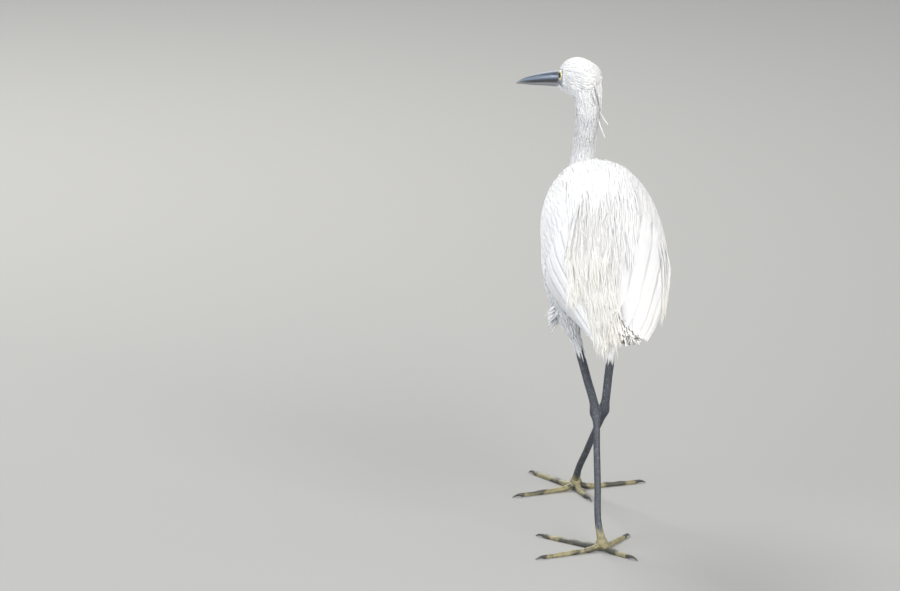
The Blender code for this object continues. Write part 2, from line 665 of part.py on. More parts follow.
def toe_line(foot, size, turn):
    """A toe's middle line with its claw: down from the foot, along the floor, and the claw's arch."""
    length, claw, radius, joints = size
    way = np.linspace(0, length + claw, 90)
    share = np.clip(way / length, 0, 1)
    wave = np.cos(share * math.pi * joints * 2) * 0.5 + 0.5
    wide = radius * (1 - 0.3 * share) * (0.9 + 0.14 * wave)
    claw_share = np.clip((way - length) / claw, 0, 1)
    wide = np.where(way > length, radius * 0.6 * (1 - claw_share) ** 0.7 + 0.25, wide)
    drop = np.clip(way / TOE_DOWN, 0, 1)
    lying = wide * TOE_SIT
    height = lying + (TOE_ROOT_HEIGHT - lying) * (1 - drop) ** 1.5
    height += np.sin(claw_share * math.pi) * claw * 0.1 + claw_share * 0.1
    angle = math.radians(turn)
    line = np.stack([
        foot[0] + math.cos(angle) * way,
        foot[1] + math.sin(angle) * way,
        height,
    ], -1)
    return line, wide


def toe_solid(name, line, wide, start, end, rings, skin):
    """A stretch of a toe, flat underneath where it lies on the floor."""
    path, tangent, at = stretch(line, start, end, rings)
    wide = np.interp(at, lengths(line), wide)
    rings = tube_rings(path, wide, TOE_AROUND, side=(0, 0, 1), tangent=tangent)
    rings[..., 2] = np.maximum(rings[..., 2], 0)
    return loft(name, rings, skin)


def make_foot(side, foot, bird):
    """The foot's joint, four toes and four claws."""
    pad = ball(f"foot_{side}", foot, PAD_SIZE, PAD_AROUND, PAD_RINGS, foot_skin())
    place(pad, foot, bird)
    for toe, size in TOE_SIZES.items():
        line, wide = toe_line(foot, size, TOE_TURNS[side][toe])
        length, claw = size[:2]
        piece = toe_solid(f"toe_{side}_{toe}", line, wide, 2, length - GAP / 2, TOE_RINGS, foot_skin())
        combine(piece, [ball("pad", foot, PAD_SIZE, PAD_AROUND, PAD_RINGS, foot_skin(), GAP)], "DIFFERENCE")
        place(piece, (*line[0, :2], 0), bird)
        start, end = length + GAP / 2, length + claw
        tip = toe_solid(f"claw_{side}_{toe}", line, wide, start, end, CLAW_RINGS, dark_horn())
        place(tip, tuple(line[-1]), bird)


def make_leg(side, thigh, radius, hock, ankle, foot, bird):
    piece = thigh_solid(f"thigh_{side}", thigh, radius)
    combine(piece, [torso_solid("body", GAP)], "DIFFERENCE")
    place(piece, thigh[0], bird)
    line = leg_line(thigh[-1], hock, ankle, foot)
    way = lengths(line)
    hock_way, total = way[np.linalg.norm(line - hock, axis=1).argmin()], way[-1]
    shank = leg_solid(f"shank_{side}", line, hock_way, GAP, hock_way - GAP / 2, 8, leg_skin())
    place(shank, thigh[-1], bird)
    tarsus = leg_solid(f"tarsus_{side}", line, hock_way, hock_way + GAP / 2, total, 11, leg_skin())
    combine(tarsus, [ball("pad", foot, PAD_SIZE, PAD_AROUND, PAD_RINGS, foot_skin(), GAP)], "DIFFERENCE")
    place(tarsus, hock, bird)
    make_foot(side, foot, bird)


def wing_grid(side, y, columns, margin=0.0):
    """Places and turns round the body over the folded wing, its edges moved out by some degrees."""
    lower = smooth(WING_Y, WING_LOWER, y) - margin
    upper = smooth(WING_Y, WING_UPPER[side], y) + margin
    degrees = lower[:, None] + (upper - lower)[:, None] * np.linspace(0, 1, columns)
    return np.broadcast_to(y[:, None], degrees.shape), degrees


def wing_turn(side, y, share, inset):
    """Degrees round the plumage between the wing's upper edge, at share 0, and its lower one."""
    upper = smooth(WING_Y, WING_UPPER[side], y) - inset
    lower = smooth(WING_Y, WING_LOWER, y) + inset
    return upper + (lower - upper) * share


def flight_feathers(side):
    """The long feathers of the folded wing."""
    share = np.linspace(0, 1, FLIGHT_COUNT)[:, None]
    names = np.linspace(0, 1, len(FLIGHT_TIP_Y))
    way = np.array(FLIGHT_WAY)
    root_y = np.interp(share, (0, 1), FLIGHT_ROOT_Y)
    root, tip = wing_turn(side, root_y, share, FLIGHT_INSET), smooth(names, FLIGHT_TIP[side], share)
    y = root_y + (smooth(names, FLIGHT_TIP_Y, share) - root_y) * way
    degrees = root + (tip - root) * way**1.3
    return vane_row(-1 if side == "left" else 1, y, degrees, FLIGHT_SHAPE, FLIGHT_LIFT)


def coverts(side, row):
    share = np.linspace(0, 1, row["count"])[:, None]
    root_y, tip_y = (np.interp(share, (0, 1), row[end]) for end in ("root", "tip"))
    y = root_y + (tip_y - root_y) * np.array(COVERT_WAY)
    degrees = wing_turn(side, y, share, COVERT_INSET)
    return vane_row(-1 if side == "left" else 1, y, degrees, COVERT_SHAPE, row["lift"])


def wing_solid(side, thigh, radius):
    sign = -1 if side == "left" else 1
    y, degrees = wing_grid(side, np.linspace(ARM_END, WING_Y[-1], ARM_ROWS), ARM_COLUMNS)
    outer = plumage_point(y, degrees, smooth(ARM_SKIN_Y, ARM_SKIN, y), sign)
    inner = torso_point(y, degrees, ARM_CLEAR, sign)
    wing = slab(f"wing_{side}", outer, inner, white_feathers())
    feathers = flight_feathers(side)
    for row in COVERT_ROWS:
        feathers += coverts(side, row)
    combine(wing, feathers, "UNION")
    neck = neck_solid("neck", *NECK_CUTS[:2], 11, GAP)
    combine(wing, [torso_solid("body", GAP), thigh_solid("leg", thigh, radius, GAP), neck], "DIFFERENCE")
    return wing


def wing_room(side):
    """The room of a wing with its clearance, cut from what lies over it."""
    sign = -1 if side == "left" else 1
    y, degrees = wing_grid(side, np.linspace(WING_Y[0] - 6, WING_Y[-1] + 2, 14), 9, ROOM_SIDE)
    outer = plumage_point(y, degrees, smooth(ROOM_Y, ROOM_LIFT, y), sign)
    inner = plumage_point(y, degrees, -ROOM_DEEP, sign)
    return slab("wing_room", outer, inner, white_feathers())


def back_plumes():
    """Loose plumes from the mantle, lying back between the wings and over the left one."""
    chance = np.random.default_rng(7)
    plumes = []
    for layer in PLUME_LAYERS:
        for k in range(layer["count"]):
            share = (k + 0.5) / layer["count"]  # from the right wing's edge to the left wing
            left = max(0.0, share / 0.55 - 0.8)
            last_y = np.interp(left, (0, 1), layer["last"]) + chance.uniform(-6, 6)
            drop = np.interp(left, (0, 1), layer["drop"]) * chance.uniform(0.8, 1.15)
            root_turn = np.interp(share, (0, 1), PLUME_ROOT_TURN)
            tip_turn = np.interp(share, (0, 1), PLUME_TIP_TURN) + chance.uniform(-1.2, 1.2)
            t = np.array((0, 0.3, 0.66, 1))
            y = layer["root"] + (last_y - layer["root"]) * t
            turn = root_turn + (tip_turn - root_turn) * t**1.2
            points = plumage_point(y, turn, np.array(layer["lift"]))
            hanging = points[-1] + np.array(PLUME_HANG) * drop
            wrapped = plumage_point(last_y + PLUME_WRAP[0], tip_turn + PLUME_WRAP[1], layer["lift"][-1])
            end = hanging + (wrapped - hanging) * min(left, 1.0)
            angle = math.radians(tip_turn)
            side = (math.sin(angle), 0, -math.cos(angle))
            plumes.append(lock([*points, end], PLUME_WIDE, PLUME_FLAT, loose_plumes(), side, PLUME_RINGS))
    return plumes


def mantle_solid():
    """The saddle between the wings, its sides over their upper edges, with the long loose plumes."""
    y = np.linspace(*MANTLE_Y, 9)
    right = smooth(WING_Y, WING_UPPER["right"], y) - MANTLE_OVER
    left = 180 - smooth(WING_Y, WING_UPPER["left"], y) + MANTLE_OVER
    across = np.linspace(-1, 1, 10)
    degrees = right[:, None] + (left - right)[:, None] * (across + 1) / 2
    along = y[:, None] + MANTLE_ROUND * across**2 * (y[:, None] == y[0])
    middle = np.interp(y, (MANTLE_Y[0], 40), MANTLE_RISE)
    over_wing = smooth(ROOM_Y, ROOM_LIFT, y) + MANTLE_EDGE
    aside = np.clip((np.abs(across) - 0.35) / 0.3, 0, 1)
    outer = plumage_point(along, degrees, middle[:, None] + (over_wing - middle)[:, None] * aside)
    inner = torso_point(along, degrees, ARM_CLEAR)
    mantle = slab("mantle", outer, inner, loose_plumes())
    combine(mantle, back_plumes(), "UNION")
    neck = neck_solid("neck", *NECK_CUTS[:2], 11, GAP)
    rooms = [wing_room("left"), wing_room("right")]
    combine(mantle, [torso_solid("body", GAP), neck, *rooms], "DIFFERENCE")
    return mantle


def tail_vane(share, level):
    """One tail feather; share runs from -1 at the left to 1 at the right."""
    root, tip = (np.asarray(p, float) for p in (TAIL_ROOT, TAIL_TIP))
    tip = tip + (TAIL_SPREAD * share, 3.5 * share**2, 0)
    middle = through((root + (share * 6, 0, 0), tip), len(TAIL_WIDE))
    side = np.array((1.0, 0.0, 0.0))
    up = -np.cross(side, unit(tip - root))
    up = up * np.sign(up[2])
    column = np.array((-1.0, 0.0, 1.0))[None, :, None]
    wide = np.array(TAIL_WIDE)[:, None, None]
    height = VANE_CROWN * (column == 0) - TAIL_TILT * column * np.sign(share) - level
    outer = middle[:, None] + side * column * wide + up * height
    return slab("vane", outer, outer - up * VANE_THICK, white_feathers())


def tail_solid():
    """A fan of feathers on a short base, the middle pair on top and each next one lower."""
    base = through(TAIL_BASE, 5)
    wide = np.interp(np.linspace(0, 1, 5), (0, 0.5, 1), TAIL_BASE_WIDE)
    tail = loft("tail", tube_rings(base, wide, 12, TAIL_BASE_DEEP), white_feathers())
    shares = np.linspace(-1, 1, TAIL_COUNT)
    levels = (np.abs(shares) * TAIL_COUNT / 2 - 1) * TAIL_STEP
    combine(tail, [tail_vane(share, level) for share, level in zip(shares, levels)], "UNION")
    combine(tail, [torso_solid("body", GAP)], "DIFFERENCE")
    return tail


def breast_plumes():
    """Pointed plumes that hang from the lower neck over the breast."""
    line, radius = neck_line()
    way = lengths(line)
    right = np.array((1.0, 0.0, 0.0))
    plumes = []
    for place_share, count, length, reach in BREAST_ROWS:
        at = place_share * way[-1]
        middle, ahead = (np.array([np.interp(w, way, line[:, k]) for k in range(3)]) for w in (at, at + 2))
        down = np.cross(unit(ahead - middle), right)
        down = down * -np.sign(down[2])
        for turn in np.radians(np.linspace(-reach, reach, count)):
            out = down * math.cos(turn) + right * math.sin(turn)
            root = middle + out * np.interp(at, way, radius) * 0.86
            fall = unit(np.array(BREAST_FALL) * (math.sin(turn), 1, 1))
            fall = fall * length * (1 - 0.25 * abs(math.sin(turn)))
            points = [root + out * off + fall * t for off, t in zip(BREAST_BULGE, (0, 0.3, 0.65, 1))]
            across = np.cross(out, unit(fall))
            plumes.append(lock(points, BREAST_WIDE, BREAST_FLAT, white_feathers(), across, BREAST_RINGS))
    return plumes


def make_neck(bird):
    line, _ = neck_line()
    way = lengths(line) / lengths(line)[-1]
    names, rings = ("neck_lower", "neck_middle", "neck_upper"), (11, 7, 8)
    for name, start, end, count in zip(names, NECK_CUTS, NECK_CUTS[1:], rings):
        piece = neck_solid(name, start, end, count)
        if name == "neck_lower":
            combine(piece, breast_plumes(), "UNION")
            combine(piece, [torso_solid("body", GAP)], "DIFFERENCE")
        if name == "neck_upper":
            combine(piece, [loft("head_room", head_rings(GAP), white_feathers())], "DIFFERENCE")
        root = [np.interp(start, way, line[:, k]) for k in range(3)]
        place(piece, root, bird)


def make_head(bird):
    place(head_solid(), HEAD_POINT, bird)
    for name, side in (("eye_left", -1), ("eye_right", 1)):
        place(eyeball(name, side, eye_gloss()), eye_centre(side), bird)
    root = head_place(BILL_START, 0, MOUTH_HEIGHT[0])
    place(bill_solid("bill_upper", True), root, bird)
    place(bill_solid("bill_lower", False), root, bird)


def main():
    for old in list(bpy.data.objects):
        bpy.data.objects.remove(old)
    bird = bpy.data.objects.new("little_egret", None)
    bpy.context.scene.collection.objects.link(bird)
    bird.location = Vector(CENTRE_SHIFT) * MM
    place(torso_solid(), (0, 0, 219), bird)
    make_neck(bird)
    make_head(bird)
    make_leg("left", LEFT_THIGH, LEFT_THIGH_RADIUS, LEFT_HOCK, LEFT_ANKLE, LEFT_FOOT, bird)
    make_leg("right", RIGHT_THIGH, RIGHT_THIGH_RADIUS, RIGHT_HOCK, RIGHT_ANKLE, RIGHT_FOOT, bird)
    place(wing_solid("left", LEFT_THIGH, LEFT_THIGH_RADIUS), (-45, 60, 232), bird)
    place(wing_solid("right", RIGHT_THIGH, RIGHT_THIGH_RADIUS), (45, 60, 232), bird)
    place(mantle_solid(), (0, 40, 270), bird)
    place(tail_solid(), TAIL_ROOT, bird)


main()
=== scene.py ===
import math

import bpy
import numpy as np
from mathutils import Matrix, Vector
from mathutils.bvhtree import BVHTree


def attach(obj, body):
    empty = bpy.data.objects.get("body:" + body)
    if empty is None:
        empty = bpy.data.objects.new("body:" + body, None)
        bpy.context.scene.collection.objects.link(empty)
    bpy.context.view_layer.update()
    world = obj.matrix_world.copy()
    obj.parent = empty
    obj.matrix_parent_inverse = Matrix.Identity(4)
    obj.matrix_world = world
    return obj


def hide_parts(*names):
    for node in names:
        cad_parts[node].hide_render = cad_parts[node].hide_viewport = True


# A little egret, life size. Shapes are worked out in millimetres from the bird's own midline
# point on the floor: x to its right, y forward, z up. centreShift takes them to the frame.
mm = 0.001
centreShift = np.array((8.5, -46.3, 0.0))

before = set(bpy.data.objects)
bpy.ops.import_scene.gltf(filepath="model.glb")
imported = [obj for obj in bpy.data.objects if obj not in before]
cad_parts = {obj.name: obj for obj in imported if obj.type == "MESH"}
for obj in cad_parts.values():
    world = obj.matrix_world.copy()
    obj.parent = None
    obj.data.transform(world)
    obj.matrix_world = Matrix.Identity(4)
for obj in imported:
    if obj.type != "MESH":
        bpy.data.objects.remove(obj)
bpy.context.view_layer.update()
print("frame loaded")


# Curves and meshes

def unit(v):
    v = np.asarray(v, float)
    return v / np.maximum(np.linalg.norm(v, axis=-1, keepdims=True), 1e-9)


# A cubic from start to end with the given slopes.
def hermite(start, end, startSlope, endSlope, way, step):
    t = way / step
    return (
        start * (1 + 2 * t) * (1 - t) ** 2
        + startSlope * step * t * (1 - t) ** 2
        + end * t * t * (3 - 2 * t)
        + endSlope * step * t * t * (t - 1)
    )


# A curve through a few values that never swings past them.
def smooth(places, values, at):
    x, y, at = (np.asarray(v, float) for v in (places, values, at))
    slope = np.diff(y) / np.diff(x)
    same = slope[:-1] * slope[1:] > 0
    inner = np.where(same, 2 * slope[:-1] * slope[1:] / np.where(same, slope[:-1] + slope[1:], 1), 0)
    tangent = np.concatenate([slope[:1], inner, slope[-1:]])
    at = np.clip(at, x[0], x[-1])
    i = np.clip(np.searchsorted(x, at, side="right") - 1, 0, len(slope) - 1)
    return hermite(y[i], y[i + 1], tangent[i], tangent[i + 1], at - x[i], x[i + 1] - x[i])


def lengths(points):
    steps = np.linalg.norm(np.diff(points, axis=0), axis=1)
    return np.concatenate([[0], np.cumsum(steps)])


# Evenly spaced points on a smooth curve through a few points.
def through(points, count=60):
    points = np.asarray(points, float)
    x = lengths(points)
    tangent = np.gradient(points, x, axis=0)
    at = np.linspace(0, x[-1], count)
    i = np.clip(np.searchsorted(x, at, side="right") - 1, 0, len(x) - 2)
    way, step = (at - x[i])[:, None], (x[i + 1] - x[i])[:, None]
    return hermite(points[i], points[i + 1], tangent[i], tangent[i + 1], way, step)


# Rings round a path: its own side axis times cos, its depth axis times sin.
def tubeRings(path, wide, deep, around, side=(1, 0, 0)):
    tangent = unit(np.gradient(path, axis=0))
    across = unit(np.asarray(side, float) - tangent * (tangent @ np.asarray(side, float))[:, None])
    depth = np.cross(tangent, across)
    angle = np.linspace(0, 2 * math.pi, around, endpoint=False)
    wide, deep = (np.broadcast_to(np.asarray(v, float), (len(path),))[:, None, None] for v in (wide, deep))
    return path[:, None] + across[:, None] * np.cos(angle)[:, None] * wide + (
        depth[:, None] * np.sin(angle)[:, None] * deep)


# Quads between the neighbouring points of a grid, joined round where it is closed.
def gridFaces(rows, columns, closed=False):
    i, j = np.meshgrid(np.arange(rows - 1), np.arange(columns if closed else columns - 1), indexing="ij")
    a, b = i * columns + j, i * columns + (j + 1) % columns
    return np.stack([a, b, b + columns, a + columns], -1).reshape(-1, 4)


# A tube's points and faces, each end closed by a fan to its middle.
def closedTube(rings):
    rows, around = rings.shape[:2]
    points = np.vstack([rings.reshape(-1, 3), rings[0].mean(0), rings[-1].mean(0)])
    j = np.arange(around)
    k, top = (j + 1) % around, (rows - 1) * around
    start = np.stack([np.full(around, rows * around), k, j], -1)
    end = np.stack([np.full(around, rows * around + 1), top + j, top + k], -1)
    return points, [gridFaces(rows, around, True), start, end]


# Joins shapes, each a pair of points and face arrays, into one such pair.
def joined(shapes):
    points, faces, count = [], [], 0
    for shapePoints, shapeFaces in shapes:
        points.append(shapePoints)
        faces += [f + count for f in shapeFaces]
        count += len(shapePoints)
    return np.vstack(points), faces


# The faces turned so that they point outwards: the volume they enclose comes out above zero.
def facingOut(points, faces):
    volume = 0.0
    for part in faces:
        corners = points[part]
        for k in range(1, part.shape[1] - 1):
            volume += (corners[:, 0] * np.cross(corners[:, k], corners[:, k + 1])).sum()
    return faces if volume > 0 else [part[:, ::-1] for part in faces]


def makeMesh(name, points, faces):
    mesh = bpy.data.meshes.new(name)
    corners = np.concatenate([f.ravel() for f in faces]).astype(np.int32)
    sizes = np.concatenate([np.full(len(f), f.shape[1]) for f in faces])
    mesh.vertices.add(len(points))
    mesh.vertices.foreach_set("co", ((points + centreShift) * mm).astype(np.float32).ravel())
    mesh.loops.add(len(corners))
    mesh.loops.foreach_set("vertex_index", corners)
    mesh.polygons.add(len(sizes))
    mesh.polygons.foreach_set("loop_start", np.concatenate([[0], np.cumsum(sizes)[:-1]]).astype(np.int32))
    mesh.update(calc_edges=True)
    return mesh


# A piece of the bird: its mesh, its materials and what it stands for.
def makePiece(name, shape, materials, replaced=(), flat=False):
    mesh = makeMesh(name, *shape)
    piece = bpy.data.objects.new(name, mesh)
    bpy.context.scene.collection.objects.link(piece)
    for material in materials:
        mesh.materials.append(material)
    if not flat:
        mesh.shade_smooth()
    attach(piece, "root")
    if replaced:
        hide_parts(*replaced)
    return piece


def setNumber(piece, name, values, kind="FLOAT"):
    layer = piece.data.attributes.new(name, kind, "POINT")
    layer.data.foreach_set("value", np.asarray(values, np.float32).ravel())


# Materials

def newMaterial(name, colour, roughness, **sockets):
    made = bpy.data.materials.new(name)
    made.use_nodes = True
    shader = made.node_tree.nodes["Principled BSDF"]
    shader.inputs["Base Color"].default_value = (*colour, 1)
    shader.inputs["Roughness"].default_value = roughness
    for socket, value in sockets.items():
        shader.inputs[socket.replace("_", " ")].default_value = value
    return made, made.node_tree, shader


def addNode(tree, kind, **values):
    made = tree.nodes.new(kind)
    for name, value in values.items():
        if name in made.inputs.keys():
            made.inputs[name].default_value = value
        else:
            setattr(made, name, value)
    return made


# Noise on the object's own coordinates, stretched by the scale along each axis.
def addNoise(tree, scale, detail=3.0, stretch=(1, 1, 1)):
    place = addNode(tree, "ShaderNodeTexCoord")
    turn = addNode(tree, "ShaderNodeMapping")
    turn.inputs["Scale"].default_value = stretch
    noise = addNode(tree, "ShaderNodeTexNoise", Scale=scale, Detail=detail)
    tree.links.new(place.outputs["Object"], turn.inputs["Vector"])
    tree.links.new(turn.outputs["Vector"], noise.inputs["Vector"])
    return noise.outputs["Fac"]


# Colours spread over a value by a ramp of (place, colour) stops.
def addRamp(tree, value, stops):
    ramp = addNode(tree, "ShaderNodeValToRGB")
    elements = ramp.color_ramp.elements
    while len(elements) < len(stops):
        elements.new(0.5)
    for element, (place, colour) in zip(elements, stops):
        element.position, element.color = place, (*colour, 1)
    tree.links.new(value, ramp.inputs["Fac"])
    return ramp.outputs["Color"]


def addBump(tree, shader, height, distance, strength=1.0):
    bump = addNode(tree, "ShaderNodeBump", Distance=distance, Strength=strength)
    tree.links.new(height, bump.inputs["Height"])
    tree.links.new(bump.outputs["Normal"], shader.inputs["Normal"])


def mixColours(tree, share, first, second):
    mix = addNode(tree, "ShaderNodeMix", data_type="RGBA")
    tree.links.new(share, mix.inputs["Factor"])
    for socket, colour in zip(("A", "B"), (first, second)):
        target = [s for s in mix.inputs if s.name == socket and s.type == "RGBA"][0]
        if isinstance(colour, tuple):
            target.default_value = (*colour, 1)
        else:
            tree.links.new(colour, target)
    return [s for s in mix.outputs if s.type == "RGBA"][0]


def readNumber(tree, name):
    return addNode(tree, "ShaderNodeAttribute", attribute_name=name).outputs["Fac"]


colours = {
    "white": (0.88, 0.88, 0.88),
    "whiteShade": (0.81, 0.82, 0.845),
    "cream": (0.88, 0.87, 0.83),
    "greyPlume": (0.83, 0.82, 0.775),
    "loreBlue": (0.13, 0.17, 0.23),
    "lorePale": (0.40, 0.44, 0.47),
    "billBlack": (0.028, 0.031, 0.038),
    "billSlate": (0.13, 0.17, 0.24),
    "billPale": (0.27, 0.25, 0.255),
    "legBlack": (0.022, 0.025, 0.031),
    # the legs' blue-grey, part of their painted sheen
    "legGrey": (0.050, 0.059, 0.074),
    "footYellow": (0.235, 0.205, 0.108),
    "footOlive": (0.13, 0.125, 0.062),
    "irisYellow": (0.80, 0.74, 0.42),
}


# Feather white: soft, slightly bluer in broad patches, with a faint sheen.
def featherWhite(name="featherWhite", dark="whiteShade", light="white", barbs=0.0, subsurface=0.35):
    made, tree, shader = newMaterial(
        name, colours[light], 0.72, Sheen_Weight=0.25, Specular_IOR_Level=0.3, Subsurface_Weight=subsurface,
        Subsurface_Radius=(1, 1, 1), Subsurface_Scale=0.003)
    patches = addNoise(tree, 24, 4)
    colour = addRamp(tree, patches, ((0.30, colours[dark]), (0.62, colours[light])))
    tree.links.new(colour, shader.inputs["Base Color"])
    if barbs:
        barb = addNode(tree, "ShaderNodeUVMap", uv_map="barbs")
        wave = addNode(tree, "ShaderNodeTexWave", Scale=barbs, Distortion=1.5)
        wave.bands_direction = "X"
        tree.links.new(barb.outputs["UV"], wave.inputs["Vector"])
        addBump(tree, shader, wave.outputs["Fac"], 0.0002, 0.6)
    else:
        addBump(tree, shader, addNoise(tree, 900, 3), 0.0003, 0.5)
    return made


# Skin: pale under the feathers, blue-grey and blotched on the bare lores.
def bareSkin():
    made, tree, shader = newMaterial("bareSkin", colours["white"], 0.6, Specular_IOR_Level=0.4)
    blotch = addNoise(tree, 420, 5)
    lore = addRamp(tree, blotch, ((0.36, colours["loreBlue"]), (0.60, colours["lorePale"])))
    colour = mixColours(tree, readNumber(tree, "lore"), colours["white"], lore)
    tree.links.new(colour, shader.inputs["Base Color"])
    addBump(tree, shader, addNoise(tree, 1500, 4), 0.0004, 0.6)
    return made


# Plumes are white where they leave the back and cream-grey towards their tips.
def plumeWhite():
    made = featherWhite("plumeCream", "greyPlume", "cream", subsurface=0.0)
    tree = made.node_tree
    shader = tree.nodes["Principled BSDF"]
    cream = shader.inputs["Base Color"].links[0].from_socket
    share = addRamp(tree, readNumber(tree, "tipward"), ((0.35, (0, 0, 0)), (0.85, (1, 1, 1))))
    tree.links.new(mixColours(tree, share, colours["white"], cream), shader.inputs["Base Color"])
    return made


feathers = {
    "coat": featherWhite(),
    "vane": featherWhite("vaneWhite", barbs=160.0),
    "plume": plumeWhite(),
    "strand": featherWhite("strandWhite", subsurface=0.0),
}
print("feather materials made")


# The body's forms, as in the part: an outer plumage form, the body, the neck, the head, the thighs

plumage = {
    "y": (-140, -136, -110, -80, -40, 0, 40, 80, 104, 116),
    "wide": (18, 20, 32, 41.5, 48.5, 49, 46.5, 39.5, 24, 6),
    "middle": (171, 172, 186, 197, 209, 219, 227, 233, 236, 237),
    "high": (11, 12, 18, 27, 38, 46, 49, 42, 28, 8),
}
torso = {
    "y": (-92, -80, -50, -10, 30, 70, 98, 116),
    "wide": (8, 23, 37.5, 43, 43, 36, 22, 3),
    "middle": (200, 201, 206.5, 215, 223.5, 230, 232, 234),
    "high": (4, 13, 27, 40, 45.5, 41.5, 25, 3),
}
neck = {
    "path": ((5.6, 90, 229), (6.2, 122, 222), (6.6, 148, 231), (6.9, 160, 250), (6.9, 157, 271),
             (7.0, 142, 292), (6.8, 131, 311), (6.3, 131, 326)),
    "radius": (24, 21.5, 17.8, 12.6, 9.6, 9.8, 11, 12),
    "deeper": 1.1,
}
head = {
    "point": (-1.4, 146.4, 329),
    "turn": 20.5,
    "dip": 11.5,
    "along": (-34.5, -31, -24, -14, -4, 6, 13, 17, 21),
    "wide": (1.5, 7, 11.8, 14.4, 13.8, 11.6, 9, 7.2, 5.0),
    "up": (1.5, 6.4, 11.4, 15.2, 17.2, 16.0, 13.0, 10.6, 8.4),
    "down": (1.5, 7, 11.5, 15.5, 16.6, 14.2, 11, 8.6, 6.2),
}
# The chin's feathering, a point that reaches forward under the lower bill
chin = {
    "along": (8, 17, 24.5, 34),
    "above": (-6.6, -4.8, -3.8, -4.0),
    "radius": (6.4, 5.4, 3.9, 2.0),
}
eye = {
    "along": 2.2,
    "out": 8.6,
    "above": 3.4,
    "radius": 5.2,
    "look": (-4, 3),  # degrees that it looks forward of straight out, and up
    "lidLook": (11, 8),
    "pupil": 0.47,  # of the visible radius
    "lid": 4.4,
    "bare": 5.0,  # how far round it no feathers grow
    "lidThick": 0.62,
}
thighs = {
    "left": {
        "path": ((-20, 32, 221), (-28.5, 14, 200), (-30, 0, 184), (-29, -11, 172), (-27.6, -20, 164),
                 (-26, -27, 157), (-23.4, -34.2, 148)),
        "radius": (15, 17, 14.5, 11.6, 8.4, 5.8, 4.1),
    },
    "right": {
        "path": ((17, 32, 219), (21.5, 33, 202), (21, 35, 185), (18.6, 37, 167), (16.6, 38, 152),
                 (14.8, 39, 140), (13.1, 39.5, 129.8)),
        "radius": (15, 17, 15, 11.5, 8, 5.6, 4.1),
    },
}
sides = {"left": -1, "right": 1}


# The body's own line, to the bird's right of the midline.
def lean(y):
    return (y + 45) * 0.04


# Points round the plumage or the body: its half width times cos and its half height times sin.
def formPoint(form, y, degrees, lift=0.0, side=1):
    y, degrees = np.broadcast_arrays(np.asarray(y, float), np.asarray(degrees, float))
    angle = np.radians(degrees)
    x = lean(y) + side * (smooth(form["y"], form["wide"], y) + lift) * np.cos(angle)
    z = smooth(form["y"], form["middle"], y) + (smooth(form["y"], form["high"], y) + lift) * np.sin(angle)
    return np.stack([x, y, z], -1)


def torsoShape(grow):
    start, end = torso["y"][0], torso["y"][-1]
    share = np.cos(np.linspace(math.pi, 0, 48))
    y = (start + end) / 2 + (end - start) / 2 * share
    rings = formPoint(torso, y[:, None], np.linspace(0, 360, 64, endpoint=False), grow)
    rings[..., 1] += (share * grow)[:, None]
    return closedTube(rings)


def neckLine(count=120):
    line = through(neck["path"], count)
    return line, smooth(lengths(np.asarray(neck["path"], float)), neck["radius"], lengths(line))


def neckShape(grow):
    line, radius = neckLine()
    radius = radius + grow
    return closedTube(tubeRings(line, radius, radius * neck["deeper"], 48))


def headAxes():
    turn, dip = math.radians(head["turn"]), math.radians(head["dip"])
    forward = np.array((-math.sin(turn) * math.cos(dip), math.cos(turn) * math.cos(dip), -math.sin(dip)))
    right = np.array((math.cos(turn), math.sin(turn), 0.0))
    return forward, right, np.cross(right, forward)


headForward, headRight, headUp = headAxes()


# A point given along the head's middle line, to its right and above it.
def headPlace(along, right, above):
    along, right, above = np.broadcast_arrays(*(np.asarray(v, float) for v in (along, right, above)))
    return (np.asarray(head["point"]) + along[..., None] * headForward
            + right[..., None] * headRight + above[..., None] * headUp)


# The same the other way round: along, right and above of a point.
def headParts(points):
    away = np.asarray(points) - np.asarray(head["point"])
    return away @ headForward, away @ headRight, away @ headUp


def chinShape():
    path = through(np.array([headPlace(a, 0, b) for a, b in zip(chin["along"], chin["above"])]), 24)
    radius = np.interp(np.linspace(0, 1, 24), np.linspace(0, 1, 4), chin["radius"])
    return closedTube(tubeRings(path, radius, radius, 32))


# Points of the head's surface, half ellipses above and below its line.
def headPoint(along, degrees, grow=0.0):
    along, degrees = np.broadcast_arrays(np.asarray(along, float), np.asarray(degrees, float))
    wide = smooth(head["along"], head["wide"], along) + grow
    up = smooth(head["along"], head["up"], along) + grow
    down = smooth(head["along"], head["down"], along) + grow
    rise = np.sin(np.radians(degrees))
    return headPlace(along, wide * np.cos(np.radians(degrees)), np.where(rise > 0, up, down) * rise)


def headSide(along, above):
    wide = smooth(head["along"], head["wide"], along)
    high = smooth(head["along"], head["up"], along)
    low = smooth(head["along"], head["down"], along)
    return wide * np.sqrt(np.clip(1 - (above / np.where(np.asarray(above) > 0, high, low)) ** 2, 0, 1))


def headShape(grow):
    share = np.sin(np.linspace(-math.pi / 2, math.pi * 0.4, 60))
    share = (share + 1) / (share[-1] + 1)
    along = head["along"][0] + (head["along"][-1] - head["along"][0]) * share
    return closedTube(headPoint(along[:, None], np.linspace(0, 360, 64, endpoint=False), grow))


def thighShape(side, grow):
    path = through(thighs[side]["path"], 48)
    radius = smooth(lengths(np.asarray(thighs[side]["path"], float)), thighs[side]["radius"], lengths(path))
    path[-1] += unit(path[-1] - path[-2]) * grow
    return closedTube(tubeRings(path, radius + grow, radius + grow, 40))


tailBase = {
    "path": ((0, -58, 207), (-0.3, -76, 199), (-0.5, -90, 190)),
    "wide": (13, 12.5, 10),
    "deep": 0.45,
}


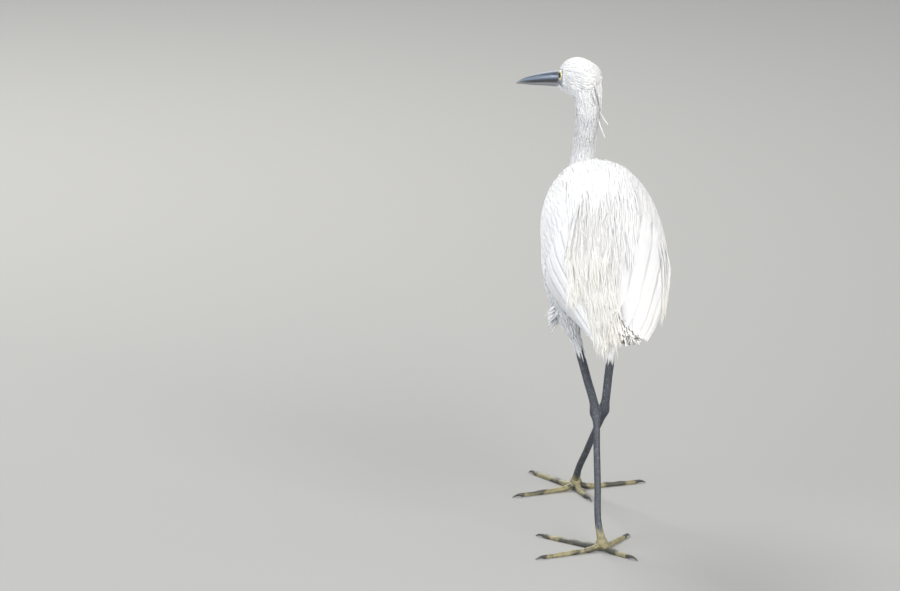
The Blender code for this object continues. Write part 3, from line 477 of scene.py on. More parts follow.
def tailBaseShape(grow):
    path = through(tailBase["path"], 24)
    wide = np.interp(np.linspace(0, 1, 24), (0, 0.5, 1), tailBase["wide"]) + grow
    return closedTube(tubeRings(path, wide, wide * tailBase["deep"], 40))


# Skin: all forms made one by a voxel remesh, then smoothed

skinLook = {
    "grow": -2.2,  # how far the skin lies inside the coat's outline
    "neckGrow": -0.9,
    "headGrow": -0.7,
    "tailGrow": -0.6,
    "thighGrow": -1.2,
    "voxel": 1.25,
    "smoothing": 9,
}


def makeSkin():
    shape = joined([
        torsoShape(skinLook["grow"]),
        neckShape(skinLook["neckGrow"]),
        headShape(skinLook["headGrow"]),
        chinShape(),
        tailBaseShape(skinLook["tailGrow"]),
        thighShape("left", skinLook["thighGrow"]),
        thighShape("right", skinLook["thighGrow"]),
    ])
    rough = bpy.data.objects.new("rough", makeMesh("rough", *shape))
    bpy.context.scene.collection.objects.link(rough)
    remesh = rough.modifiers.new("remesh", "REMESH")
    remesh.mode, remesh.voxel_size = "VOXEL", skinLook["voxel"] * mm
    relax = rough.modifiers.new("relax", "SMOOTH")
    relax.factor, relax.iterations = 0.5, skinLook["smoothing"]
    final = rough.evaluated_get(bpy.context.evaluated_depsgraph_get()).to_mesh()
    points = np.empty(len(final.vertices) * 3)
    final.vertices.foreach_get("co", points)
    quads = np.empty(len(final.polygons) * 4, np.int32)
    final.polygons.foreach_get("vertices", quads)
    points = points.reshape(-1, 3) / mm - centreShift
    quads = quads.reshape(-1, 4)
    bpy.data.objects.remove(rough)
    return points, quads


skinPoints, skinQuads = makeSkin()
skinTree = BVHTree.FromPolygons(skinPoints.tolist(), skinQuads.tolist())
print("skin worked out:", len(skinQuads), "faces")


# The lie of the coat: guides, each with its own place, way, feather length, width and lift,
# blended by nearness

coatGuides = {
    "power": 4.0,
    "head": {"length": 7.0, "wide": 0.8, "lift": 0.3},
    "face": {"length": 3.8, "wide": 0.55, "lift": 0.28},
    "neck": {"length": 13.5, "wide": 0.85, "lift": 0.42},
    "breast": {"length": 26.0, "wide": 1.2, "lift": 0.9},
    "back": {"length": 24.0, "wide": 1.3, "lift": 1.0},
    "belly": {"length": 22.0, "wide": 1.2, "lift": 0.9},
    "thigh": {"length": 13.0, "wide": 0.85, "lift": 0.5},
    "cuff": {"length": 9.0, "wide": 0.7, "lift": 0.4},
}


def makeGuides():
    rows = []

    def add(points, ways, kind):
        size = coatGuides[kind]
        for point, way in zip(np.reshape(points, (-1, 3)), np.reshape(ways, (-1, 3))):
            rows.append((*point, *unit(way), size["length"], size["wide"], size["lift"]))

    for along, kind in ((-30, "head"), (-20, "head"), (-8, "head"), (4, "face"), (12, "face")):
        for degrees in range(0, 360, 45):
            add(headPoint(along, degrees), -headForward - 0.12 * headUp, kind)
    line, radius = neckLine(15)
    way = -unit(np.gradient(line, axis=0))
    for k in range(1, 15):
        ring = tubeRings(line, radius, radius, 8)[k]
        kind = "neck" if k > 5 else "breast"
        add(ring, np.broadcast_to(way[k], ring.shape), kind)
    for y in (-80, -50, -20, 10, 40, 70, 95):
        for degrees in range(0, 360, 30):
            point = formPoint(torso, y, degrees)
            low = 0.5 - 0.5 * math.sin(math.radians(degrees))
            front = np.clip((y - 30) / 60, 0, 1)
            add(point, (0, -1, -0.12 - 0.9 * low * front), "belly" if low > 0.6 else "back")
    line = through(tailBase["path"], 4)
    rings = tubeRings(line, 12.0, 6.0, 8)
    add(rings, np.broadcast_to((0, -0.87, -0.5), rings.shape), "belly")
    for side in sides:
        line = through(thighs[side]["path"], 9)
        way = unit(np.gradient(line, axis=0))
        radius = smooth(lengths(np.asarray(thighs[side]["path"], float)), thighs[side]["radius"], lengths(line))
        rings = tubeRings(line, radius, radius, 8)
        for k in range(3, 9):
            add(rings[k], np.broadcast_to(way[k], rings[k].shape), "thigh" if k < 7 else "cuff")
    return np.array(rows)


guides = makeGuides()


# Way, length, width and lift at some places, as the guides' mean weighed by 1 / distance^power.
def lieAt(points):
    result = np.empty((len(points), 6))
    for start in range(0, len(points), 4000):
        part = points[start:start + 4000]
        away = np.linalg.norm(part[:, None] - guides[None, :, :3], axis=-1)
        weight = 1 / (away + 1.5) ** coatGuides["power"]
        result[start:start + 4000] = weight @ guides[:, 3:] / weight.sum(1, keepdims=True)
    return unit(result[:, :3]), result[:, 3], result[:, 4], result[:, 5]


# Roots drawn evenly over the skin, as many as the feathers' own size asks there.
def drawRoots(cover, draw):
    corners = skinPoints[skinQuads]
    normal = np.cross(corners[:, 2] - corners[:, 0], corners[:, 3] - corners[:, 1])
    area = np.linalg.norm(normal, axis=1) / 2
    middle = corners.mean(1)
    way, length, wide, lift = lieAt(middle)
    wanted = cover * area / (length * wide * 1.2) * feathered(middle)
    chosen = draw.random(len(area)) < wanted
    count = np.where(wanted > 1, np.floor(wanted), 0).astype(int) + chosen
    face = np.repeat(np.arange(len(area)), count)
    share = draw.random((len(face), 2, 1))
    quad = corners[face]
    near = quad[:, 0] + (quad[:, 1] - quad[:, 0]) * share[:, 0]
    far = quad[:, 3] + (quad[:, 2] - quad[:, 3]) * share[:, 0]
    return near + (far - near) * share[:, 1], unit(normal[face])


# How far a point lies on the bare lores: a band from the eye's front to the bill, 0 to 1.
def loreShare(points):
    along, right, above = headParts(points)
    top = np.interp(along, (-2, 4, 17), (5.0, 6.2, 6.8))
    low = np.interp(along, (-2, 4, 17), (-2.6, -4.0, -4.4))
    inside = np.minimum(np.minimum(top - above, above - low), along + 3.0)
    return np.clip(inside / 1.2 + 0.5, 0, 1) * (np.abs(right) > 2) * (along < 30)


# Where feathers grow: not on the bare lores, round the eye, nor deep under the wings and mantle.
def feathered(points):
    along, right, above = headParts(points)
    onHead = np.linalg.norm(points - np.asarray(head["point"]), axis=1) < 45
    lores = onHead & (loreShare(points) > 0.4)
    round = (along - eye["along"]) ** 2 + (above - eye["above"]) ** 2 < eye["bare"] ** 2
    socket = onHead & round & (np.abs(right) > 6)
    allowed = ~(lores | socket)
    y = points[:, 1]
    wide = smooth(torso["y"], torso["wide"], y)
    high = smooth(torso["y"], torso["high"], y)
    degrees = np.degrees(np.arctan2(
        (points[:, 2] - smooth(torso["y"], torso["middle"], y)) / high, (points[:, 0] - lean(y)) / wide))
    degrees = np.where(np.abs(degrees) > 90, np.sign(degrees) * 180 - degrees, degrees)
    covered = (y < 84) & (y > -92) & (degrees > -14) & (points[:, 2] > 190) & ~onHead
    return allowed & ~covered


# The nearest points of the skin, and the skin's way out there.
def onSkin(points):
    found = [skinTree.find_nearest(p) for p in points.tolist()]
    place = np.array([f[0] for f in found])
    out = np.array([f[1] for f in found])
    return place, out


tuftLook = {
    "cover": 4.2,  # how many feathers lie over each other
    "thick": 0.12,
    "turn": 0.1,  # how far a feather's way strays from the coat's
    "profile": (0.55, 1.0, 0.82, 0.42),  # half width along the feather
    "rise": (-0.6, 0.55, 0.95, 1.0, 0.72),  # height over the skin along it, as a share of its lift
    "most": 9500,  # feathers in one piece
}


# One feather: rings of three points, both edges and the ridge, closed at the root and to a tip.
def makeTufts(name, root, out, way, length, wide, lift, draw):
    count = len(root)
    stray = draw.normal(0, tuftLook["turn"], (count, 3))
    way = unit(way + stray)
    length = length * draw.uniform(0.75, 1.2, count)
    wide = wide * draw.uniform(0.75, 1.25, count)
    lift = lift * draw.uniform(0.6, 1.3, count)
    steps = len(tuftLook["rise"]) - 1
    place, normal = root, out
    spine, sideways = [], []
    for k in range(steps + 1):
        flat = unit(way - normal * (way * normal).sum(1, keepdims=True))
        height = lift * tuftLook["rise"][k]
        spine.append(place + normal * height[:, None])
        sideways.append(np.cross(normal, flat))
        if k < steps:
            place, normal = onSkin(place + flat * (length / steps)[:, None])
    spine, sideways = np.stack(spine, 1), np.stack(sideways, 1)
    upward = np.cross(unit(np.gradient(spine, axis=1)), sideways)
    upward = np.where((upward * out[:, None]).sum(-1, keepdims=True) < 0, -upward, upward)
    half = wide[:, None] * np.array(tuftLook["profile"])
    rings = spine[:, :-1, None] + np.stack([
        -sideways[:, :-1] * half[..., None],
        upward[:, :-1] * tuftLook["thick"],
        sideways[:, :-1] * half[..., None],
    ], 2)
    each = steps * 3 + 1
    points = np.concatenate([rings.reshape(count, -1, 3), spine[:, -1:]], 1)
    k, j = np.meshgrid(np.arange(steps - 1), np.arange(3), indexing="ij")
    a, b = (k * 3 + j).ravel(), (k * 3 + (j + 1) % 3).ravel()
    quads = np.stack([a, a + 3, b + 3, b], -1)
    last = (steps - 1) * 3
    ends = np.array([(0, 1, 2), (last, last + 3, last + 1), (last + 1, last + 3, last + 2),
                     (last + 2, last + 3, last)])
    made = []
    for part, start in enumerate(range(0, count, tuftLook["most"])):
        here = points[start:start + tuftLook["most"]]
        offset = (np.arange(len(here)) * each)[:, None, None]
        faces = [(quads[None] + offset).reshape(-1, 4), (ends[None] + offset).reshape(-1, 3)]
        piece = makePiece(f"{name}{part + 1}", (here.reshape(-1, 3), faces), [feathers["coat"]],
                          flat=True)
        bakeMap(piece, here, root[start:start + tuftLook["most"]], faces)
        made.append(piece)
    return made


# The map that the colours are baked on: each feather a small patch at its root's place on the
# unwrapped body, its angle round the body or the neck across and its way along it up.
def unwrap(root):
    along, right, above = headParts(root)
    onHead = (np.linalg.norm(root - np.asarray(head["point"]), axis=1) < 45) & (root[:, 2] > 305)
    line, _ = neckLine(60)
    away = np.linalg.norm(root[:, None] - line[None], axis=-1)
    near = away.argmin(1)
    onNeck = (root[:, 1] > 96) & ~onHead
    onThigh = (root[:, 2] < 186) & ~onHead
    turn = np.arctan2(root[:, 2] - 222, root[:, 0] - lean(root[:, 1])) / (2 * math.pi) + 0.5
    u, v = 0.02 + 0.44 * turn, 0.02 + 0.96 * np.clip((root[:, 1] + 140) / 260, 0, 1)
    neckTurn = np.arctan2(root[:, 0] - line[near, 0], root[:, 1] - line[near, 1]) / (2 * math.pi) + 0.5
    u = np.where(onNeck, 0.50 + 0.22 * neckTurn, u)
    v = np.where(onNeck, 0.02 + 0.96 * near / 60, v)
    u = np.where(onHead, 0.76 + 0.22 * (np.arctan2(above, right) / (2 * math.pi) + 0.5), u)
    v = np.where(onHead, 0.52 + 0.44 * np.clip((along + 36) / 56, 0, 1), v)
    u = np.where(onThigh, 0.76 + 0.1 * turn + 0.12 * (root[:, 0] > 0), u)
    v = np.where(onThigh, 0.02 + 0.44 * np.clip((root[:, 2] - 120) / 80, 0, 1), v)
    return np.stack([u, v], -1)


def bakeMap(piece, points, root, faces):
    patch = 0.003
    away = points - points[:, :1]
    reach = np.abs(away).max((1, 2), keepdims=True)
    inside = (away[..., :2] + away[..., 2:] * (0.31, 0.57)) / reach / 2
    place = (unwrap(root)[:, None] + inside * patch).reshape(-1, 2)
    corners = np.concatenate([f.ravel() for f in faces])
    layer = piece.data.uv_layers.new(name="OFBake")
    layer.data.foreach_set("uv", place[corners].astype(np.float32).ravel())


skin = makePiece(
    "skin", (skinPoints, [skinQuads]), [bareSkin()],
    ("torso", "neck_lower", "neck_middle", "neck_upper", "head", "thigh_left", "thigh_right"))
loreMark = loreShare(skinPoints)
setNumber(skin, "lore", loreMark)


coatParts = {
    "coatHead": lambda p: (np.linalg.norm(p - np.asarray(head["point"]), axis=1) < 40) & (p[:, 2] > 308),
    "coatNeck": lambda p: (p[:, 1] > 112) & (p[:, 2] > 236),
    "coatBreast": lambda p: p[:, 1] > 60,
    "coatThigh": lambda p: p[:, 2] < 184,
    "coatBody": lambda p: p[:, 1] > -1000,
}


def makeCoat():
    draw = np.random.default_rng(11)
    root, out = drawRoots(tuftLook["cover"], draw)
    way, length, wide, lift = lieAt(root)
    left = np.ones(len(root), bool)
    total = 0
    for name, belongs in coatParts.items():
        own = left & belongs(root)
        left &= ~own
        total += own.sum()
        makeTufts(name, root[own], out[own], way[own], length[own], wide[own], lift[own], draw)
    print("coat made:", total, "feathers")


makeCoat()


# Vanes: flat feathers on the plumage form, each a closed slab with a ridge along its middle

vaneLook = {
    "rows": 30,
    "columns": (-1, -0.72, -0.4, -0.1, 0, 0.1, 0.4, 0.72, 1),
    "thick": 0.22,
    "ridge": 0.12,
    "camber": 0.2,
    "tilt": 0.13,  # how much higher a feather's lower edge lies than its middle
    "cover": 1.2,  # half a feather's width against how far apart neighbours lie
    "notches": 3,
}


# A feather's half width along it: from the root's share to full at 30 %, round at the tip.
def vaneProfile(share, root, tipStart):
    full = root + (1 - root) * np.clip(share / 0.3, 0, 1) ** 0.7
    tip = np.sqrt(np.clip(1 - (np.clip(share - tipStart, 0, 1) / (1 - tipStart)) ** 2, 0, 1))
    return full * np.maximum(tip, 0.08)


# Splits in a feather's edge: a few narrow dips of its half width on either side.
def notched(share, count, draw):
    dips = np.ones((count, len(share), 2))
    for _ in range(vaneLook["notches"]):
        place = draw.uniform(0.35, 0.97, (count, 1, 2))
        deep = draw.uniform(0.05, 0.24, (count, 1, 2))
        dips *= 1 - deep * np.exp(-((share[None, :, None] - place) / 0.014) ** 2)
    return dips


# How much further out the wing's lower feathers lie, to pass over the thigh.
def overThigh(y, degrees):
    low = np.clip((-degrees - wing["thighFrom"]) / wing["thighFade"], 0, 1)
    return wing["thighLift"] * low * np.exp(-(((y - wing["thighY"]) / wing["thighReach"]) ** 2))


# Feathers side by side: root and tip give each one's place and turn round the plumage, the lift
# its height over it along its length.
def makeVanes(name, side, rootY, rootTurn, tipY, tipTurn, lift, draw, root=0.55, tipStart=0.82, bend=1.3,
              form=plumage, cover=None, replaced=(), skin="vane"):
    count, columns = len(rootY), np.array(vaneLook["columns"])
    share = 1 - (1 - np.linspace(0, 1, vaneLook["rows"])) ** 1.5
    tipY = tipY + draw.uniform(-1.5, 1.5, count)
    tipTurn = tipTurn + draw.uniform(-0.8, 0.8, count)
    y = rootY[:, None] + (tipY - rootY)[:, None] * share
    turn = rootTurn[:, None] + (tipTurn - rootTurn)[:, None] * share**bend
    line = formPoint(form, y, turn, 0, side)
    along = unit(np.gradient(line, axis=1))
    step = np.gradient(line, axis=0)
    apart = np.linalg.norm(step - along * (step * along).sum(-1, keepdims=True), axis=-1)
    half = apart * (cover or vaneLook["cover"]) * vaneProfile(share, root, tipStart)
    around = np.hypot(smooth(form["y"], form["wide"], y) * np.sin(np.radians(turn)),
                      smooth(form["y"], form["high"], y) * np.cos(np.radians(turn)))
    spread = np.degrees(half / around)
    dips = notched(share, count, draw)
    reach = np.where(columns < 0, dips[..., :1], dips[..., 1:]) * columns
    degrees = turn[..., None] + spread[..., None] * reach
    height = np.interp(share, np.linspace(0, 1, len(lift)), lift)[None, :, None]
    fade = (1 - share[:, None]) ** 0.3
    raised = (height + draw.uniform(-0.08, 0.08, (count, 1, 1)) - vaneLook["tilt"] * columns
              + vaneLook["camber"] * (1 - columns**2) * fade + vaneLook["ridge"] * (columns == 0) * fade)
    thick = vaneLook["thick"] * (1 - 0.6 * np.abs(columns))
    placeY = np.broadcast_to(y[..., None], degrees.shape)
    raised = raised + overThigh(placeY, degrees)
    outer = formPoint(form, placeY, degrees, raised, side)
    inner = formPoint(form, placeY, degrees, raised - thick, side)
    return slabPiece(name, outer, inner, [feathers[skin]], replaced)


# Many closed slabs in one piece, each between an outer and an inner grid; with the maps that the
# bake and the barbs use.
def slabPiece(name, outer, inner, materials, replaced=()):
    count, rows, columns = outer.shape[:3]
    points = np.concatenate([outer.reshape(count, -1, 3), inner.reshape(count, -1, 3)], 1)
    each, size = points.shape[1], rows * columns
    face = gridFaces(rows, columns)
    i, j = np.arange(rows), np.arange(columns)
    rim = np.concatenate([j, i[1:] * columns + columns - 1, (rows - 1) * columns + j[-2::-1],
                          i[-2:0:-1] * columns])
    after = np.roll(rim, -1)
    edge = np.stack([rim, after, after + size, rim + size], -1)
    faces = np.vstack([face[:, ::-1], face + size, edge])
    faces = (faces[None] + (np.arange(count) * each)[:, None, None]).reshape(-1, 4)
    faces = facingOut(points.reshape(-1, 3), [faces])[0]
    piece = makePiece(name, (points.reshape(-1, 3), [faces]), materials, replaced)
    bakeMap(piece, points, points[:, columns // 2], [faces])
    line = outer[:, :, columns // 2]
    steps = np.linalg.norm(np.diff(line, axis=1), axis=-1)
    along = np.concatenate([np.zeros((count, 1)), np.cumsum(steps, 1)], 1)[..., None]
    across = np.linalg.norm(outer - line[:, :, None], axis=-1)
    barb = np.stack(np.broadcast_arrays((along - across * 0.9) * 0.1, across * 0.1), -1)
    barb = np.concatenate([barb, barb], 1).reshape(-1, 2)
    layer = piece.data.uv_layers.new(name="barbs")
    layer.data.foreach_set("uv", barb[faces.ravel()].astype(np.float32).ravel())
    return piece


wing = {
    "y": (-138, -112, -96, -60, -20, 20, 60, 90, 104),
    "left": (80, 74, 68, 62, 61, 63, 62, 50, 28),
    "right": (104, 94, 86, 76, 68, 65, 62, 50, 28),
    "lower": (-6, -14, -23, -33, -38, -39, -36, -23, -2),
    "flightCount": 15,
    "flightRootY": (34, 30),
    "flightTipY": (-121, -132, -139, -140, -134, -110, -82, -56),
    "flightTipTurn": {
        "left": (67, 56, 41, 24, 6, -12, -25, -35),
        "right": (93, 80, 54, 30, 8, -10, -25, -35),
    },
    "flightLift": (-2.4, -0.9, -0.4, -0.25, -0.15, -0.1),
    # rows of coverts, rear to front: how many, root and tip from the spine down, lift along them
    "coverts": (
        (14, (34, 40), (-40, -2), (-1.8, -0.1, 0.15, -0.2)),
        (16, (50, 54), (-14, 14), (-1.6, 0.15, 0.45, 0.2)),
        (18, (64, 66), (8, 28), (-1.4, 0.3, 0.7, 0.5)),
        (20, (76, 76), (26, 40), (-1.2, 0.45, 0.95, 0.8)),
        (22, (86, 85), (44, 54), (-1.1, 0.6, 1.15, 1.1)),
        (22, (94, 92), (60, 67), (-1.0, 0.6, 1.25, 1.25)),
        (22, (100, 97), (73, 77), (-1.0, 0.5, 1.2, 1.25)),
        (20, (105, 101), (85, 86), (-1.0, 0.3, 1.0, 1.15)),
        (16, (109, 104), (95, 94), (-1.0, 0.1, 0.8, 1.0)),
    ),
    # broad feathers over the flight feathers' inner half: root and tip, how far round, lift along them
    "tertialRootY": (22, 18, 12, 4, -4),
    "tertialTipY": (-120, -129, -137, -141, -137),
    "tertialTurn": {"left": (67, 56, 43, 29, 15), "right": (93, 77, 57, 38, 20)},
    "tertialLift": (-1.4, 0.1, 0.35, 0.3, 0.2),
    "thighLift": 5.5,
    "thighFrom": 8,
    "thighFade": 22,
    "thighY": 8,
    "thighReach": 42,
    "armY": (-8, 104),
    "armLift": (-3.0, -1.9, -1.2),
}


def wingTurn(side, y, share, inset):
    upper = smooth(wing["y"], wing[side], y) - inset
    lower = smooth(wing["y"], wing["lower"], y) + inset
    return upper + (lower - upper) * share


def makeWing(side):
    draw = np.random.default_rng(21 + sides[side])
    share = np.linspace(0, 1, wing["flightCount"])
    rootY = wing["flightRootY"][0] + (wing["flightRootY"][1] - wing["flightRootY"][0]) * share
    places = np.linspace(0, 1, len(wing["flightTipY"]))
    tipY = smooth(places, wing["flightTipY"], share)
    tipTurn = smooth(places, wing["flightTipTurn"][side], share)
    makeVanes(f"flightFeathers_{side}", sides[side], rootY, wingTurn(side, rootY, share, 4), tipY, tipTurn,
              wing["flightLift"], draw, replaced=(f"wing_{side}",))
    rootY, tipY, tipTurn = (np.array(v, float) for v in (
        wing["tertialRootY"], wing["tertialTipY"], wing["tertialTurn"][side]))
    share = np.linspace(0, 0.5, len(rootY))
    makeVanes(f"tertials_{side}", sides[side], rootY, wingTurn(side, rootY, share, 5), tipY, tipTurn,
              wing["tertialLift"], draw, tipStart=0.84, cover=0.8)
    for k, (count, rootY, tipY, lift) in enumerate(wing["coverts"]):
        share = (np.arange(count) + 0.15 + 0.5 * (k % 2)) / count
        rootY, tipY = (a + (b - a) * share for a, b in (rootY, tipY))
        makeVanes(f"coverts_{side}{k + 1}", sides[side], rootY, wingTurn(side, rootY, share, 5),
                  tipY, wingTurn(side, tipY, share, 5), lift, draw, tipStart=0.7, cover=1.15)
    makeArm(side)


# The arm under the coverts: a closed shell between the plumage and the body.
def makeArm(side):
    y = np.linspace(*wing["armY"], 40)
    share = np.linspace(0, 1, 30)
    turn = wingTurn(side, y[:, None], share, 3)
    lift = np.interp(y, np.linspace(*wing["armY"], 3), wing["armLift"])[:, None] + overThigh(y[:, None], turn)
    outer = formPoint(plumage, y[:, None], turn, lift, sides[side])[None]
    inner = formPoint(torso, y[:, None], turn, -1.0, sides[side])[None]
    slabPiece(f"arm_{side}", outer, inner, [feathers["vane"]])


for wingSide in sides:
    makeWing(wingSide)
print("wings made")


# Locks and hairs: rings of three points along a line, closed at the root and drawn to a tip

def lockShape(line, sideways, upward, half, thick):
    count, steps = line.shape[:2]
    half, thick = (np.broadcast_to(v, (count, steps))[:, :-1, None] for v in (half, thick))
    rings = line[:, :-1, None] + np.stack([
        -sideways[:, :-1] * half, upward[:, :-1] * thick, sideways[:, :-1] * half], 2)
    points = np.concatenate([rings.reshape(count, -1, 3), line[:, -1:]], 1)
    k, j = np.meshgrid(np.arange(steps - 2), np.arange(3), indexing="ij")
    a, b = (k * 3 + j).ravel(), (k * 3 + (j + 1) % 3).ravel()
    last = (steps - 2) * 3
    quads = np.stack([a, a + 3, b + 3, b], -1)
    ends = np.array([(0, 1, 2), (last, last + 3, last + 1), (last + 1, last + 3, last + 2),
                     (last + 2, last + 3, last)])
    return points, quads, ends


def lockPiece(name, shape, root, materials, replaced=()):
    points, quads, ends = shape
    offset = (np.arange(len(points)) * points.shape[1])[:, None, None]
    faces = [(quads[None] + offset).reshape(-1, 4), (ends[None] + offset).reshape(-1, 3)]
    piece = makePiece(name, (points.reshape(-1, 3), faces), materials, replaced, flat=True)
    bakeMap(piece, points, root, faces)
    return piece


# The way across some lines and the way out, on a surface given by a function of place and turn.
def surfaceAxes(line, surface, place, turn, lift):
    along = unit(np.gradient(line, axis=1))
    around = surface(place, turn + 0.5, lift) - surface(place, turn - 0.5, lift)
    out = unit(np.cross(around, along))
    return np.cross(out, along), out


def plumagePoint(y, turn, lift):
    return formPoint(plumage, y, turn, lift)


# Locks that lie along a surface from their roots, highest at 60 % of their length.
def layLocks(name, surface, place, turn, lift, look, draw, replaced=()):
    t = np.linspace(0, 1, place.shape[1])
    lift = lift + np.interp(t, (0, 0.15, 0.5, 1), look["shade"]) + draw.uniform(-0.5, 0.25, (len(place), 1))
    line = surface(place, turn, lift)
    sideways, upward = surfaceAxes(line, surface, place, turn, lift)
    half = look["half"] * np.interp(t, (0, 0.3, 0.7, 1), (0.5, 1, 0.8, 0.1)) * draw.uniform(0.7, 1.2, (len(place), 1))
    lockPiece(name, lockShape(line, sideways, upward, half, look["thick"]), line[:, 0], [feathers["coat"]],
              replaced)


mantle = {
    "y": (-42, 111),
    "rise": (3.0, 1.0),  # over the plumage at its rear, and from the middle forward
    "overWing": 9,  # degrees that its sides lie over the wings
    "wingRise": (1.5, 1.6, 2.0),
    "edgeSink": 1.5,  # how far the locks sink among the wing's feathers at the sides
    "locks": 2100,
    "length": (34, 56),
    "half": 0.95,
    "thick": 0.2,
    "shade": (-1.6, -0.5, 0.1, -0.5),
}


def mantleEdges(y):
    right = smooth(wing["y"], wing["right"], y) - mantle["overWing"]
    return right, 180 - smooth(wing["y"], wing["left"], y) + mantle["overWing"]


def mantleLift(y, across):
    middle = np.interp(y, (mantle["y"][0], 40), mantle["rise"])
    wingSide = np.interp(y, (-60, -20, 20), mantle["wingRise"])
    lift = middle + (wingSide - middle) * np.clip((np.abs(across) - 0.35) / 0.3, 0, 1)
    return lift - mantle["edgeSink"] * np.clip((np.abs(across) - 0.82) / 0.25, 0, 1)


# Silky locks from the neck's base back over the saddle, each lying along the plumage.
def makeMantle():
    draw = np.random.default_rng(31)
    count = mantle["locks"]
    rootY = mantle["y"][0] + (mantle["y"][1] + 4 - mantle["y"][0]) * draw.random(count) ** 0.9
    across = draw.uniform(-1.0, 1.0, count) + draw.normal(0, 0.08, count)
    length = draw.uniform(*mantle["length"], count)
    t = np.linspace(0, 1, 8)
    y = rootY[:, None] - length[:, None] * t
    right, left = mantleEdges(np.maximum(y, mantle["y"][0] - 8))
    turn = right + (left - right) * (across[:, None] + 1) / 2 + draw.normal(0, 2.2, (count, 1)) * t
    lift = mantleLift(y, across[:, None] * np.ones_like(y))
    layLocks("mantleLocks", plumagePoint, y, turn, lift, mantle, draw, ("mantle",))
    y = np.linspace(*mantle["y"], 44)[:, None]
    across = np.linspace(-0.8, 0.8, 40)
    right, left = mantleEdges(y)
    turn = right + (left - right) * (across + 1) / 2
    lift = mantleLift(y, across) - 1.3
    along = y + 12 * across**2 * (y == y[0])
    outer = formPoint(plumage, along, turn, lift)[None]
    inner = formPoint(torso, along, turn, -1.0)[None]
    slabPiece("saddle", outer, inner, [feathers["vane"]])


makeMantle()
print("mantle made")

flank = {
    "y": (100, 34),
    "below": 17,  # degrees under the wing's lower edge where it begins
    "above": 6,  # and how far it lies over the wing
    "locks": 460,
    "length": (20, 34),
    "half": 0.95,
    "thick": 0.18,
    "lift": (0.6, 1.9),
    "shade": (-1.6, -0.4, 0.1, -0.5),
}


# The coat's outline where the breast's side feathers run up over the wing's front and lower edge:
# the body's form below that edge, the plumage's above it. Turns beyond 90 degrees are the left side.
def flankPoint(y, turn, lift):
    y, turn = np.broadcast_arrays(np.asarray(y, float), np.asarray(turn, float))
    low = np.minimum(turn, 180 - turn)
    share = np.clip((low - smooth(wing["y"], wing["lower"], y)) / flank["below"] + 1, 0, 1)
    share = (share * share * (3 - 2 * share))[..., None]
    inner = formPoint(torso, y, turn, lift)
    outer = formPoint(plumage, y, turn, lift + overThigh(y, low))
    return inner + (outer - inner) * share


# Breast feathers that lie up over the wing's lower edge, on a closed bed.
def makeFlank(side):
    draw = np.random.default_rng(37 + sides[side])

    def surface(y, turn, lift):
        return flankPoint(y, turn if sides[side] > 0 else 180 - turn, lift)

    count = flank["locks"]
    t = np.linspace(0, 1, 8)
    y = draw.uniform(*sorted(flank["y"]), (count, 1)) - draw.uniform(*flank["length"], (count, 1)) * t
    start = -flank["below"] - 2 + (flank["below"] + 2) * draw.random((count, 1))
    turn = smooth(wing["y"], wing["lower"], y) + start + (flank["above"] + 3) * t + draw.normal(0, 1, (count, 1)) * t
    layLocks("flankLocks_" + side, surface, y, turn, flank["lift"][1], flank, draw)
    y = np.linspace(*flank["y"], 40)[:, None]
    turn = smooth(wing["y"], wing["lower"], y) + np.linspace(-flank["below"], flank["above"] - 3, 14)
    outer, inner = (surface(y, turn, flank["lift"][0] - v) for v in (0, 1.5))
    slabPiece("flankBed_" + side, outer[None], inner[None], [feathers["vane"]])


for flankSide in sides:
    makeFlank(flankSide)

collar = {
    "neck": 66,  # mm along the neck's line where it begins
    "turns": (-38, 218),
    "places": (-38, -20, 0, 30, 90),
    "back": (80, 88, 93, 96, 100),  # y where it meets the plumage, at those turns
    "sag": 3.5,
    "rise": 1.1,  # how much closer the feathers lie at the neck
    "locks": 1350,
    "length": (24, 40),
    "half": 0.95,
    "thick": 0.18,
    "lift": (0.4, 1.7),
    "shade": (-1.6, -0.4, 0.1, -0.8),
}
neckMiddle, neckRadius = neckLine(200)
neckWay = lengths(neckMiddle)
neckAhead = unit(np.gradient(neckMiddle, axis=0))


# The surface between the neck and the shoulders: at 0 and below it follows the neck, from 1 on the
# plumage, every 50 mm a whole step.
def collarPoint(place, turn, lift):
    place, turn = np.broadcast_arrays(np.asarray(place, float), np.asarray(turn, float))
    lift = lift - collar["rise"] * (1 - np.clip(place, 0, 1))
    way = collar["neck"] + np.clip(-place, 0, 2) * 50
    middle, ahead = (np.stack([np.interp(way, neckWay, v[:, k]) for k in range(3)], -1)
                     for v in (neckMiddle, neckAhead))
    right = np.array((1.0, 0.0, 0.0))
    up = unit(np.cross(right, ahead))
    cos, sin = np.cos(np.radians(turn))[..., None], np.sin(np.radians(turn))[..., None]
    radius = np.interp(way, neckWay, neckRadius)[..., None]
    onNeck = middle + right * cos * (radius - 0.5 + lift[..., None]) + up * sin * (
        radius * neck["deeper"] - 0.5 + lift[..., None])
    low = np.minimum(turn, 180 - turn)
    y = np.interp(low, collar["places"], collar["back"]) - np.clip(place - 1, 0, 2) * 50
    share = np.clip(place, 0, 1)[..., None]
    sag = collar["sag"] * 4 * share * (1 - share) * np.clip(sin, 0, 1)
    return onNeck + (flankPoint(y, turn, lift) - onNeck) * share - up * sag


